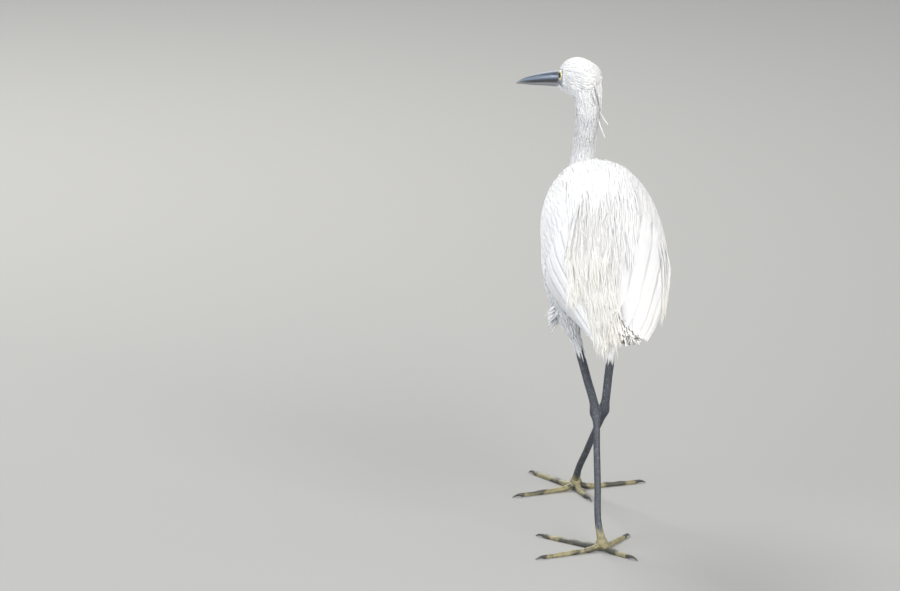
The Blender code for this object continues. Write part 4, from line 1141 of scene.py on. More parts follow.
# Feathers that run from the neck's base back over the shoulders, on a closed bed.
def makeCollar():
    draw = np.random.default_rng(39)
    count = collar["locks"]
    place = draw.uniform(-0.3, 1.0, (count, 1)) + draw.uniform(*collar["length"], (count, 1)) / 50 * np.linspace(0, 1, 8)
    turn = draw.uniform(*collar["turns"], (count, 1)) + draw.normal(0, 2, (count, 1)) * np.linspace(0, 1, 8)
    layLocks("collarLocks", collarPoint, place, turn, collar["lift"][1], collar, draw)
    place = np.linspace(-0.1, 1.1, 36)[:, None]
    turn = np.linspace(*collar["turns"], 60)
    outer, inner = (collarPoint(place, turn, collar["lift"][0] - v) for v in (0, 1.5))
    slabPiece("collarBed", outer[None], inner[None], [feathers["vane"]])


makeCollar()
print("shoulders made")

plumeLook = {
    # layers: how many, root, where they leave the plumage and how far they hang, in the middle row
    # and at the left, and their height over the plumage
    "layers": (
        (14, -34, (-136, -134), (9, 15), (-0.8, 1.3, 1.2, 1.2)),
        (12, -10, (-130, -126), (10, 16), (-0.8, 1.9, 2.0, 1.8)),
        (9, 16, (-96, -88), (9, 8), (-0.8, 2.0, 2.7, 2.4)),
    ),
    "rootTurn": (76, 112),
    "tipTurn": (101, 150),
    "hang": (0, -0.42, -1),
    "wrap": (-8, 14),
    "beyond": (0, 15),  # how far a hair may reach past its shaft's end
    "shaftHalf": 0.35,
    "hairs": 120,  # on each side of a plume
    "hairLength": (40, 20),
    "hairAngle": (7, 5),
    "hairHalf": 0.19,
    "hairSpread": 1.7,  # how far beside the shaft a hair may start
    "hairRise": (-0.015, 0.025),
}


# Each plume's line: back along the plumage, then free, hanging in the middle and wrapped round at
# the left; with the way across it.
def plumeLines(draw):
    lines, across = [], []
    for count, root, last, drop, lift in plumeLook["layers"]:
        for k in range(count):
            share = (k + 0.5) / count
            left = max(0.0, share / 0.55 - 0.8)
            lastY = np.interp(left, (0, 1), last) + draw.uniform(-8, 8)
            fall = np.interp(left, (0, 1), drop) * draw.uniform(0.4, 1.15)
            rootTurn = np.interp(share, (0, 1), plumeLook["rootTurn"]) + draw.uniform(-1.5, 1.5)
            tipTurn = np.interp(share, (0, 1), plumeLook["tipTurn"]) + draw.uniform(-2.5, 2.5)
            t = np.array((0, 0.3, 0.66, 1))
            start = root + draw.uniform(-24, 18)
            y = start + (lastY - start) * t
            turn = rootTurn + (tipTurn - rootTurn) * t**1.2
            points = formPoint(plumage, y, turn, np.array(lift))
            hanging = points[-1] + np.array(plumeLook["hang"]) * fall
            wrapped = formPoint(plumage, lastY + plumeLook["wrap"][0], tipTurn + plumeLook["wrap"][1], lift[-1])
            end = hanging + (wrapped - hanging) * min(left, 1.0)
            lines.append(through([*points, end], 41))
            angle = math.radians(tipTurn)
            across.append((math.sin(angle), 0, -math.cos(angle)))
    return np.array(lines), np.array(across)


# Loose barbs on both sides of each plume's shaft, leaning to its tip, sagging a little.
def hairsOf(line, sideways, upward, look, draw):
    count, steps = line.shape[:2]
    along = unit(np.gradient(line, axis=1))
    share = np.tile(np.linspace(0.12, 0.97, look["hairs"]), (count, 2, 1))
    share = np.clip(share + draw.uniform(-0.01, 0.01, share.shape), 0, 0.99)
    at = share * (steps - 1)
    i = at.astype(int)
    part = (at - i)[..., None]
    n = np.arange(count)[:, None, None]

    def blend(values):
        return values[n, i] + (values[n, i + 1] - values[n, i]) * part

    root, ahead, aside, above = (blend(v) for v in (line, along, sideways, upward))
    sign = np.array((-1.0, 1.0))[None, :, None, None]
    root = root + aside * draw.normal(0, look["hairSpread"], (*share.shape, 1))
    angle = np.radians(np.interp(share, (0, 1), look["hairAngle"]) * draw.uniform(0.6, 1.4, share.shape))
    reach = np.interp(share, (0, 1), look["hairLength"]) * draw.uniform(0.6, 1.15, share.shape)
    beyond = draw.uniform(*look["beyond"], share.shape)
    reach = np.minimum(reach, (1 - share) * lengthOf(line)[:, None, None] + beyond)
    angle, reach = angle[..., None], reach[..., None]
    way = ahead * np.cos(angle) + sign * aside * np.sin(angle) + above * draw.uniform(*look["hairRise"], angle.shape)
    t = np.linspace(0, 1, 4)[:, None]
    bend = ahead * 0.10 - above * 0.02
    hair = root[..., None, :] + way[..., None, :] * reach[..., None, :] * t + (
        bend[..., None, :] * reach[..., None, :] * t**2)
    hair = hair.reshape(-1, 4, 3)
    above = np.broadcast_to(above[..., None, :], (*above.shape[:-1], 4, 3)).reshape(-1, 4, 3)
    flat = unit(np.cross(above, np.gradient(hair, axis=1)))
    return hair, flat, np.cross(unit(np.gradient(hair, axis=1)), flat), share.ravel()


def lengthOf(line):
    return np.linalg.norm(np.diff(line, axis=1), axis=-1).sum(1)


def makePlumes(name, line, across, out, look, materials, draw, replaced=()):
    along = unit(np.gradient(line, axis=1))
    sideways = unit(across - along * (across * along).sum(-1, keepdims=True))
    upward = np.cross(along, sideways)
    turned = np.where((upward * out).sum(-1)[:, 10:11, None] < 0, -1, 1)
    sideways, upward = sideways * turned, upward * turned
    t = np.linspace(0, 1, line.shape[1])
    half = look["shaftHalf"] * np.interp(t, (0, 0.2, 0.7, 1), (0.7, 1, 0.7, 0.1))
    shafts = lockPiece(f"{name}Shafts", lockShape(line, sideways, upward, half, 0.3), line[:, 0], materials,
                       replaced)
    tipward = np.concatenate([np.repeat(t[:-1], 3), t[-1:]])
    setNumber(shafts, "tipward", np.tile(tipward, len(line)))
    hair, flat, over, share = hairsOf(line, sideways, upward, look, draw)
    half = look["hairHalf"] * np.array((1, 1, 0.7, 0.2))
    hairs = lockPiece(f"{name}Hairs", lockShape(hair, flat, over, half, 0.06), hair[:, 0], materials)
    setNumber(hairs, "tipward", np.repeat(share, 10))


plumeDraw = np.random.default_rng(41)
plumeLine, plumeAcross = plumeLines(plumeDraw)
makePlumes("backPlume", plumeLine, plumeAcross[:, None], (0, 0, 1), plumeLook, [feathers["plume"]],
           plumeDraw)
print("back plumes made")

nape = {
    "lines": (
        ((8, 125, 337), (11.4, 118.6, 326), (14.2, 121.4, 314), (16.0, 127, 304), (22, 125, 294.5)),
        ((6, 125, 335), (8.8, 118.4, 323), (13.3, 122.8, 308), (15.2, 130.2, 297), (19.8, 128, 283.5)),
    ),
    "shaftHalf": 1.3,
    "hairs": 60,
    "hairLength": (13, 7),
    "hairAngle": (4, 3),
    "hairHalf": 0.22,
    "hairSpread": 0.5,
    "hairRise": (-0.02, 0.03),
    "beyond": (0, 1),
}


def makeNape():
    draw = np.random.default_rng(43)
    line = np.array([through(points, 41) for points in nape["lines"]])
    across = np.broadcast_to(np.array((0.45, 0.85, 0.2)), line.shape)
    makePlumes("napePlume", line, across, (0.6, -0.8, 0), nape, [feathers["coat"]], draw)


makeNape()

breast = {
    # share of the neck, count, length, reach round, and the way they fall
    "rows": (
        (0.47, 15, 40, 66, (0.08, -0.42, -0.9)),
        (0.42, 17, 44, 68, (0.1, -0.62, -0.78)),
        (0.36, 17, 44, 68, (0.1, -0.8, -0.6)),
        (0.30, 17, 46, 64, (0.1, -0.92, -0.38)),
        (0.23, 15, 44, 56, (0.1, -0.97, -0.22)),
    ),
    "bulge": (0, 1.7, 1.6, 0.5),
    "shaftHalf": 1.1,
    "hairs": 30,
    "hairLength": (15, 9),
    "hairAngle": (4, 3),
    "hairHalf": 0.24,
    "hairSpread": 0.75,
    "hairRise": (-0.01, 0.02),
    "beyond": (0, 6),
}


# Pointed plumes that hang from the lower neck over the breast, in rows round its front.
def makeBreast():
    draw = np.random.default_rng(47)
    right = np.array((1.0, 0.0, 0.0))
    lines, sideways, outward = [], [], []
    for share, count, length, reach, way in breast["rows"]:
        at = share * neckWay[-1]
        middle, ahead = (np.array([np.interp(w, neckWay, neckMiddle[:, k]) for k in range(3)])
                         for w in (at, at + 2))
        down = np.cross(unit(ahead - middle), right)
        down = down * -np.sign(down[2])
        for turn in np.radians(np.linspace(-reach, reach, count)):
            out = down * math.cos(turn) + right * math.sin(turn)
            root = middle + out * np.interp(at, neckWay, neckRadius) * 0.9
            fall = unit(np.array(way) * (math.sin(turn), 1, 1) + draw.normal(0, 0.02, 3))
            fall = fall * length * (1 - 0.25 * abs(math.sin(turn))) * draw.uniform(0.8, 1.0)
            points = [root + out * off + fall * t for off, t in zip(breast["bulge"], (0, 0.3, 0.65, 1))]
            lines.append(through(points, 41))
            sideways.append(np.broadcast_to(unit(np.cross(out, fall)), (41, 3)))
            outward.append(np.broadcast_to(out, (41, 3)))
    makePlumes("breastPlume", np.array(lines), np.array(sideways), np.array(outward), breast, [feathers["coat"]],
               draw)


makeBreast()

wisps = {
    # y, turn and lift of each line's points at the right wing's outer side, then how far it hangs
    "y": (-22, -54, -80, -92),
    "turn": (32, 24, 12, 0),
    "lift": (0.2, 0.9, 0.9, 0.7),
    "count": 9,
    "spread": (9, 9),  # in y and in degrees
    "hang": (-0.15, -0.3, -1),
    "fall": (3, 9),
    "shaftHalf": 0.3,
    "hairs": 22,
    "hairLength": (24, 12),
    "hairAngle": (6, 4),
    "hairHalf": 0.17,
    "hairSpread": 0.9,
    "hairRise": (-0.01, 0.03),
    "beyond": (0, 8),
}


# Loose strands of the long back plumes over the right wing's outer edge.
def makeWisps():
    draw = np.random.default_rng(59)
    lines = []
    for _ in range(wisps["count"]):
        y = np.array(wisps["y"]) + draw.uniform(-1, 1) * wisps["spread"][0]
        turn = np.array(wisps["turn"]) + draw.uniform(-1, 1) * wisps["spread"][1]
        points = formPoint(plumage, y, turn, np.array(wisps["lift"]))
        lines.append(through([*points, points[-1] + np.array(wisps["hang"]) * draw.uniform(*wisps["fall"])], 41))
    across = np.broadcast_to(np.array((0.25, 0.0, -0.97)), (len(lines), 41, 3))
    makePlumes("wingWisp", np.array(lines), across, (1, 0, 0), wisps, [feathers["plume"]], draw)


makeWisps()
print("nape, breast and wing plumes made")

tail = {
    "root": (-0.7, -62, 208),
    "tip": (-3.5, -132, 170.5),
    "count": 12,
    "spread": 10.5,
    "half": (3.0, 4.6, 5.2, 4.9, 3.4),
    "step": 0.55,
    "tilt": 0.2,
}


# A fan of tail feathers, the middle pair on top and each next one lower.
def makeTail():
    draw = np.random.default_rng(53)
    share = np.linspace(-1, 1, tail["count"])
    root, tip = np.array(tail["root"]), np.array(tail["tip"])
    tips = tip + np.stack([tail["spread"] * share, 3.5 * share**2, 0 * share], -1)
    roots = root + np.stack([6 * share, 0 * share, 0 * share], -1)
    t = 1 - (1 - np.linspace(0, 1, vaneLook["rows"])) ** 1.5
    line = roots[:, None] + (tips - roots)[:, None] * t[None, :, None]
    ahead = unit(tip - root)
    aside = np.array((1.0, 0.0, 0.0))
    up = np.cross(aside, ahead)
    up = up * np.sign(up[2])
    columns = np.array(vaneLook["columns"])
    half = np.interp(t, np.linspace(0, 1, 5), tail["half"]) * vaneProfile(t, 0.6, 0.86)
    dips = notched(t, tail["count"], draw)
    reach = np.where(columns < 0, dips[..., :1], dips[..., 1:]) * columns
    level = (np.abs(share) * tail["count"] / 2 - 1) * tail["step"]
    height = (vaneLook["ridge"] * (columns == 0) + 0.3 * (1 - columns**2)
              - tail["tilt"] * columns * np.sign(share)[:, None]) - level[:, None]
    outer = line[:, :, None] + aside * (reach * half[None, :, None])[..., None] + up * height[:, None, :, None]
    thick = vaneLook["thick"] * (1 - 0.6 * np.abs(columns))[:, None]
    slabPiece("tailFeathers", outer, outer - up * thick, [feathers["vane"]], ("tail",))


makeTail()

tailCoverts = {
    "locks": 900,
    "from": (0.3, 0.78),  # where they start, as a share of the tail's length
    "length": (20, 44),
    "past": (-0.10, 0.04),  # how far past the tail's tip they may end, as such a share
    "reach": 13.5,
    "height": (20, 11),  # over the tail, at its root and at its tip
    "half": 1.6,
    "thick": 0.14,
}


# Loose cream feathers that fill the space between the tail and the wings; their cream-grey tint is painted shade
# under the wings.
def makeTailCoverts():
    draw = np.random.default_rng(71)
    count = tailCoverts["locks"]
    root, tip = np.array(tail["root"]), np.array(tail["tip"])
    way = tip - root
    size = np.linalg.norm(way)
    up = np.cross((1.0, 0.0, 0.0), way / size)
    up = up * np.sign(up[2])
    t = np.linspace(0, 1, 7)
    start = draw.uniform(*tailCoverts["from"], (count, 1))
    end = np.minimum(start + draw.uniform(*tailCoverts["length"], (count, 1)) / size,
                     1 + draw.uniform(*tailCoverts["past"], (count, 1)))
    share = start + (end - start) * t
    high = np.interp(share, (0, 1), tailCoverts["height"]) * draw.random((count, 1)) + 0.6
    aside = tailCoverts["reach"] * draw.uniform(-1, 1, (count, 1)) * (0.7 + 0.3 * t)
    line = root + way * share[..., None] + up * high[..., None] + np.array((1.0, 0, 0)) * aside[..., None]
    line[:, :, 0] += 2 * share
    line = line + unit(way) * (t * 0.4)[None, :, None]
    along = unit(np.gradient(line, axis=1))
    sideways = unit(np.cross(up + 0 * along, along))
    upward = np.cross(along, sideways)
    half = tailCoverts["half"] * np.interp(t, (0, 0.3, 0.85, 1), (0.5, 1, 0.9, 0.3))
    piece = lockPiece("tailCoverts", lockShape(line, sideways, upward, half, tailCoverts["thick"]), line[:, 0],
                      [feathers["plume"]])
    # tipward fixed at 0.6: the cream-grey of painted shade under the wings
    setNumber(piece, "tipward", np.full(len(piece.data.vertices), 0.6))


makeTailCoverts()
print("tail made")


# Head: bill, gape, eyes and lids

bill = {
    "start": 17.0,
    "length": 85.0,
    "share": (0.0, 0.12, 0.3, 0.5, 0.72, 0.9, 1.0),
    "wide": (5.9, 5.3, 4.4, 3.6, 2.6, 1.5, 0.5),
    "upper": (8.6, 8.2, 7.3, 6.2, 4.5, 2.3, 0.6),
    "lower": (4.9, 4.9, 4.1, 3.3, 2.4, 1.1, 0.4),
    "mouth": (-1.2, -1.1, -0.9, -0.8, -0.8, -1.0, -1.4),
    "gap": 0.12,
    "grooveHeight": 0.56,  # of the nostril's groove, as a share of the upper half's depth
    "grooveDeep": 0.6,
    "nostril": (0.09, 0.2),
    "gape": ((17, -1.2), (11, -2.0), (5, -3.6), (-1, -6.0)),
}


def hornMaterial(name, stops, coat=0.12):
    made, tree, shader = newMaterial(name, colours["billSlate"], 0.48, Coat_Weight=coat, Coat_Roughness=0.35)
    grain = addNoise(tree, 260, 5, (0.25, 1, 1))
    mix = addNode(tree, "ShaderNodeMath", operation="MULTIPLY_ADD")
    mix.inputs[1].default_value, mix.inputs[2].default_value = 0.16, -0.08
    total = addNode(tree, "ShaderNodeMath", operation="ADD")
    tree.links.new(grain, mix.inputs[0])
    tree.links.new(mix.outputs[0], total.inputs[0])
    tree.links.new(readNumber(tree, "height"), total.inputs[1])
    side = addRamp(tree, total.outputs[0], stops)
    tip = addRamp(tree, readNumber(tree, "along"), ((0.0, (0, 0, 0)), (0.86, (0, 0, 0)), (1.0, (1, 1, 1))))
    tree.links.new(mixColours(tree, tip, side, colours["billPale"]), shader.inputs["Base Color"])
    addBump(tree, shader, addNoise(tree, 900, 4, (0.2, 1, 1)), 0.00025, 0.7)
    return made


# Half a bill: a half ellipse, pinched to a ridge above, with the nostril's groove pressed in.
def makeBill(name, upper, material, node):
    share = np.linspace(0, 1, 90) ** 0.9
    wide = smooth(bill["share"], bill["wide"], share)[:, None]
    deep = smooth(bill["share"], bill["upper" if upper else "lower"], share)[:, None]
    mouth = smooth(bill["share"], bill["mouth"], share)[:, None]
    angle = np.linspace(0, math.pi, 49)
    height = np.sin(angle) ** 1.08
    out = wide * np.cos(angle) * (1 - (0.10 if upper else 0.0) * np.sin(2 * angle) ** 2)
    if upper:
        band = np.exp(-((height - bill["grooveHeight"]) / 0.13) ** 2)
        reach = np.clip((0.5 - share) / 0.2, 0, 1)[:, None]
        start, end = bill["nostril"]
        slit = np.exp(-(((share - (start + end) / 2) / (end - start) * 2) ** 4))[:, None]
        narrow = np.exp(-((height - bill["grooveHeight"]) / 0.06) ** 2)
        press = bill["grooveDeep"] * band * reach + 1.3 * slit * narrow
        out = out - np.sign(np.cos(angle)) * press * np.minimum(1, np.abs(out) / 1.5)
    above = mouth + (1 if upper else -1) * (bill["gap"] + deep * height)
    along = bill["start"] + bill["length"] * share
    points, faces = closedTube(headPlace(np.broadcast_to(along[:, None], out.shape), out, above))
    piece = makePiece(name, (points, facingOut(points, faces)), [material], (node,))
    heights = np.broadcast_to(height, out.shape).ravel()
    setNumber(piece, "height", np.concatenate([heights, heights[:1] * 0, heights[:1] * 0]))
    shares = np.broadcast_to(share[:, None], out.shape).ravel()
    setNumber(piece, "along", np.concatenate([shares, (0.0, 1.0)]))
    return piece


makeBill("billUpper", True, hornMaterial("billUpperHorn", (
    (0.0, colours["billBlack"]), (0.16, colours["billBlack"]), (0.34, colours["billSlate"]),
    (0.62, colours["billSlate"]), (0.74, colours["billBlack"]), (1.0, colours["billSlate"]))), "bill_upper")
makeBill("billLower", False, hornMaterial("billLowerHorn", (
    (0.0, colours["billBlack"]), (0.12, colours["billBlack"]), (0.38, colours["billPale"]),
    (1.0, colours["billSlate"]))), "bill_lower")


# The mouth's corner line, a thin dark ridge on the cheek.
def makeGape():
    along, above = (through(np.array(bill["gape"], float), 30)[:, k] for k in (0, 1))
    taper = np.sin(np.linspace(0.35, 0.96, 30) * math.pi) ** 0.6
    shapes = []
    for side in (-1, 1):
        line = headPlace(along, side * (headSide(along, above) + 0.05), above)
        shapes.append(closedTube(tubeRings(line, 0.6 * taper, 0.4 * taper, 10, side=headUp)))
    made, _, _ = newMaterial("gapeDark", colours["billBlack"], 0.5)
    makePiece("gape", joined(shapes), [made])


makeGape()

def eyeAxes(side, degrees):
    forward, upward = (math.sin(math.radians(v)) for v in degrees)
    look = unit(headRight * side + headForward * forward + headUp * upward)
    up = unit(headUp - look * (headUp @ look))
    return look, up, np.cross(look, up)


# Eye: a ball round its look; the cornea stands out a little; the colours go by the way from its middle.
def makeEye(side):
    look, up, aside = eyeAxes(sides[side], eye["look"])
    centre = headPlace(eye["along"], sides[side] * eye["out"], eye["above"])
    tilt = np.linspace(0.004, math.pi - 0.01, 90)
    angle = np.linspace(0, 2 * math.pi, 64, endpoint=False)
    bulge = eye["radius"] * (1 + 0.035 * np.exp(-(tilt / 0.42) ** 2))
    flat = (np.sin(tilt) * bulge)[:, None, None]
    rings = centre + look * (np.cos(tilt) * bulge)[:, None, None] + flat * (
        np.cos(angle)[:, None] * aside + np.sin(angle)[:, None] * up)
    points, faces = closedTube(rings)
    made, tree, shader = newMaterial("eye_" + side, colours["irisYellow"], 0.12, Coat_Weight=1.0,
                                     Coat_Roughness=0.02)
    ring = readNumber(tree, "ring")
    black, pupil = (0.004, 0.004, 0.005), eye["pupil"]
    stops = ((0.0, black), (pupil, black), (pupil + 0.06, (0.50, 0.42, 0.14)),
             (pupil + 0.22, colours["irisYellow"]), (1.0, (0.55, 0.47, 0.18)))
    base = addRamp(tree, ring, stops)
    fibre = addNoise(tree, 1800, 4)
    tint = addRamp(tree, fibre, ((0.3, (0.72, 0.66, 0.5)), (0.7, (1, 1, 1))))
    mix = addNode(tree, "ShaderNodeMix", data_type="RGBA", blend_type="MULTIPLY")
    mix.inputs["Factor"].default_value = 1.0
    inputs = [s for s in mix.inputs if s.type == "RGBA"]
    tree.links.new(base, inputs[0])
    tree.links.new(tint, inputs[1])
    tree.links.new([s for s in mix.outputs if s.type == "RGBA"][0], shader.inputs["Base Color"])
    piece = makePiece("eyeball_" + side, (points, faces), [made], ("eye_" + side,))
    rim = np.broadcast_to((np.where(tilt < 1.5, np.sin(tilt), 1.2) * eye["radius"] / eye["lid"])[:, None],
                          rings.shape[:2])
    setNumber(piece, "ring", np.concatenate([rim.ravel(), (0.0, 1.2)]))


# Lids: a wrinkled ring round the eye's opening, a little flatter above.
def lidShape(side):
    look, up, aside = eyeAxes(side, eye["lidLook"])
    angle = np.linspace(0, 2 * math.pi, 120, endpoint=False)
    turn = np.linspace(0, 2 * math.pi, 16, endpoint=False)
    centre = headPlace(eye["along"], side * eye["out"], eye["above"]) + look * math.sqrt(eye["radius"]**2 - eye["lid"]**2)
    out = np.cos(angle)[:, None] * aside + np.sin(angle)[:, None] * up * np.where(
        np.sin(angle) > 0, 0.94, 1.0)[:, None]
    wrinkle = 1 + 0.07 * np.sin(angle * 23)[:, None] + 0.12 * np.sin(turn * 3)[None]
    thick = (eye["lidThick"] * wrinkle)[..., None]
    rings = (centre + out * (eye["lid"] + 0.3))[:, None] + out[:, None] * np.cos(turn)[None, :, None] * thick + (
        look * np.sin(turn)[None, :, None] * thick * 1.2)
    count, around = rings.shape[:2]
    i, j = np.meshgrid(np.arange(count), np.arange(around), indexing="ij")
    a, b = i * around + j, i * around + (j + 1) % around
    c, d = (i + 1) % count * around + (j + 1) % around, (i + 1) % count * around + j
    faces = np.stack([a, b, c, d], -1).reshape(-1, 4)
    points = rings.reshape(-1, 3)
    return points, facingOut(points, [faces])


for eyeSide in sides:
    makeEye(eyeSide)
lidSkin, lidTree, lidShader = newMaterial("lidSkin", colours["loreBlue"], 0.55)
lidTree.links.new(addRamp(lidTree, addNoise(lidTree, 700, 4), (
    (0.35, colours["loreBlue"]), (0.65, colours["lorePale"]))), lidShader.inputs["Base Color"])
makePiece("lids", joined([lidShape(-1), lidShape(1)]), [lidSkin])
print("bill, gape and eyes made")


# Legs: scaled skin on a tube with a knobbed hock

legs = {
    "left": {"edge": (-23.4, -34.2, 148), "hock": (-15.3, -74, 105), "ankle": (-17, -102.5, 20),
             "foot": (-15.1, -107, 8), "yellow": 19},
    "right": {"edge": (13.1, 39.5, 129.8), "hock": (7.2, 41.4, 80), "ankle": (-4.8, 106, 17),
              "foot": (-5.1, 114.6, 8), "yellow": 14},
    "shank": 3.3, "hockRadius": 4.6, "tarsus": 2.65, "ankleRadius": 3.6,
    "hockReach": 5.5, "hockBend": 4.0,
    "scale": (2.5, 9),  # a scale's length, and how many go round
    "groove": 0.13,
}


def legLine(part):
    edge, hock, ankle, foot = (np.asarray(part[k], float) for k in ("edge", "hock", "ankle", "foot"))
    before, after = unit(edge - hock), unit(ankle - hock)
    bends = [hock + before * legs["hockBend"], hock + after * legs["hockBend"]]
    straight = [hock + after * 30, hock + after * 60]
    return through([edge + before * 4, hock + before * 30, *bends, *straight, ankle, foot], 420), hock


# Six-sided scales: how far a place lies from the nearest scale's edge, 0 in a groove to 1.
def scales(along, around, length, count):
    rows = along / length
    turn = around / (2 * math.pi) * count
    best = np.full(np.broadcast(rows, turn).shape, 9.0)
    second = best.copy()
    base = np.floor(rows)
    for step in (-1, 0, 1, 2):
        row = base + step
        shift = 0.5 * (row % 2)
        centre = np.round(turn - shift) + shift
        for other in (-1, 0, 1):
            away = np.hypot((rows - row) * 1.0, (turn - centre - other) * 1.0)
            closer = away < best
            second = np.where(closer, best, np.minimum(second, away))
            best = np.where(closer, away, best)
    return np.clip((second - best) / 0.28, 0, 1)


# Leg skin: black, flecked blue-grey over the scales' faces as a painted sheen; the grooves between scales stay black,
# with yellow near the foot.
def legMaterial():
    made, tree, shader = newMaterial("legScales", colours["legBlack"], 0.6)
    dark = addRamp(tree, addNoise(tree, 420, 5), (
        (0.3, colours["legBlack"]), (0.58, colours["legGrey"]), (0.72, (0.115, 0.135, 0.165))))
    scaleSheen = mixColours(tree, readNumber(tree, "scale"), colours["legBlack"], dark)
    yellow = addRamp(tree, addNoise(tree, 300, 4), ((0.35, colours["footOlive"]), (0.6, colours["footYellow"])))
    tree.links.new(mixColours(tree, readNumber(tree, "yellow"), scaleSheen, yellow), shader.inputs["Base Color"])
    addBump(tree, shader, addNoise(tree, 1400, 4), 0.0003, 0.5)
    return made


legSkin = legMaterial()


def makeLeg(side):
    line, hock = legLine(legs[side])
    way = lengths(line)
    hockWay = way[np.linalg.norm(line - hock, axis=1).argmin()]
    near = np.exp(-(((way - hockWay) / legs["hockReach"]) ** 2))
    shaft = np.where(way < hockWay, legs["shank"], legs["tarsus"])
    foot = np.clip(1 - (way[-1] - way) / 18, 0, 1) ** 2
    radius = shaft + (legs["hockRadius"] - shaft) * near + (legs["ankleRadius"] - legs["tarsus"]) * foot
    around = np.linspace(0, 2 * math.pi, 54, endpoint=False)
    scale = scales(way[:, None], around + 0 * way[:, None], *legs["scale"])
    rings = tubeRings(line, radius, radius, 54)
    outward = unit(rings - line[:, None])
    rings = rings - outward * (legs["groove"] * (1 - scale))[..., None]
    piece = makePiece("leg_" + side, closedTube(rings), [legSkin],
                      ("shank_" + side, "tarsus_" + side))
    setNumber(piece, "scale", np.concatenate([scale.ravel(), (1, 1)]))
    yellow = np.clip((legs[side]["yellow"] - rings[..., 2] + 2 * np.sin(around * 3)) / 5, 0, 1)
    setNumber(piece, "yellow", np.concatenate([yellow.ravel(), (0, 1)]))


for legSide in sides:
    makeLeg(legSide)
print("legs made")


# Feet: toes with plates above and pads below, a knob where they meet, and claws

toes = {
    # length, claw length, half width at the root, joints
    "sizes": {"middle": (62, 12, 2.9, 4), "inner": (48, 11, 2.7, 3), "outer": (52, 10, 2.7, 4),
              "hind": (32, 15, 2.9, 2)},
    # the way each points, in degrees from +X towards +Y
    "turns": {
        "left": {"middle": 127, "inner": 60, "outer": 205, "hind": -61},
        "right": {"middle": 113, "inner": 203, "outer": 18, "hind": -82.5},
    },
    "sit": 0.62,
    "rootHeight": 5.4,
    "down": 15.0,
    "knob": (4.8, 4.8, 5.4),
    "knobHeight": 6.2,
    "plate": 2.3,  # a plate's length
    "plateDeep": 0.3,
}


def toeLine(foot, size, turn):
    length, claw, radius, joints = size
    way = np.linspace(0, length + claw, 300)
    share = np.clip(way / length, 0, 1)
    wave = np.cos(share * math.pi * joints * 2) * 0.5 + 0.5
    wide = radius * (1 - 0.3 * share) * (0.9 + 0.14 * wave)
    clawShare = np.clip((way - length) / claw, 0, 1)
    wide = np.where(way > length, radius * 0.6 * (1 - clawShare) ** 0.7 + 0.12, wide)
    lying = wide * toes["sit"]
    height = lying + (toes["rootHeight"] - lying) * (1 - np.clip(way / toes["down"], 0, 1)) ** 1.5
    height += np.sin(clawShare * math.pi) * claw * 0.1 + clawShare * 0.1
    angle = math.radians(turn)
    return np.stack([foot[0] + math.cos(angle) * way, foot[1] + math.sin(angle) * way, height], -1), wide, way


def footMaterial():
    made, tree, shader = newMaterial("footSkin", colours["footYellow"], 0.5, Coat_Weight=0.1, Coat_Roughness=0.4)
    tint = addRamp(tree, addNoise(tree, 240, 5), (
        (0.32, colours["footOlive"]), (0.55, colours["footYellow"]), (0.75, (0.31, 0.27, 0.14))))
    patch = addRamp(tree, addNoise(tree, 40, 6), ((0.51, (0, 0, 0)), (0.56, (0.94, 0.94, 0.94))))
    dark = mixColours(tree, patch, tint, (0.022, 0.023, 0.024))
    groove = mixColours(tree, readNumber(tree, "plate"), (0.10, 0.095, 0.05), dark)
    tree.links.new(groove, shader.inputs["Base Color"])
    addBump(tree, shader, addNoise(tree, 1200, 4), 0.0003, 0.5)
    return made


footSkin = footMaterial()


# A toe: its ring flattened on the floor, with a plate's edge every few millimetres on its upper
# half and fine scales below.
def toeShape(line, wide, way, end):
    keep = (way >= 1.5) & (way <= end)
    line, wide, way = line[keep], wide[keep], way[keep]
    around = 30
    rings = tubeRings(line, wide, wide, around, side=(0, 0, 1))
    angle = np.linspace(0, 2 * math.pi, around, endpoint=False)
    top = np.clip(np.cos(angle) * 1.4, 0, 1)
    phase = way[:, None] / toes["plate"] % 1
    edge = np.exp(-((phase - 0.5) / 0.12) ** 2) * top
    fine = (1 - scales(way[:, None], angle + 0 * way[:, None], 1.3, 14)) * (1 - top) * 0.4
    outward = unit(rings - line[:, None])
    press = edge + fine
    rings = rings - outward * (toes["plateDeep"] * press)[..., None]
    rings[..., 2] = np.maximum(rings[..., 2], 0)
    points, faces = closedTube(rings)
    return (points, faces), np.concatenate([(1 - np.clip(press, 0, 1)).ravel(), (1, 1)])


# The knob where the toes meet: an egg with small scales pressed into it.
def knobShape(foot):
    tilt = np.linspace(-math.pi / 2 + 0.03, math.pi / 2 - 0.03, 40)
    angle = np.linspace(0, 2 * math.pi, 48, endpoint=False)
    cell = scales(tilt[:, None] * 7, angle + 0 * tilt[:, None], 1.3, 14)
    ring = np.stack([np.cos(tilt)[:, None] * np.cos(angle), np.cos(tilt)[:, None] * np.sin(angle),
                     np.sin(tilt)[:, None] + 0 * angle], -1)
    middle = np.array((*foot[:2], toes["knobHeight"]))
    rings = middle + ring * np.array(toes["knob"]) * (1 - 0.02 * (1 - cell))[..., None]
    points, faces = closedTube(rings)
    return (points, faces), np.concatenate([cell.ravel(), (1, 1)])


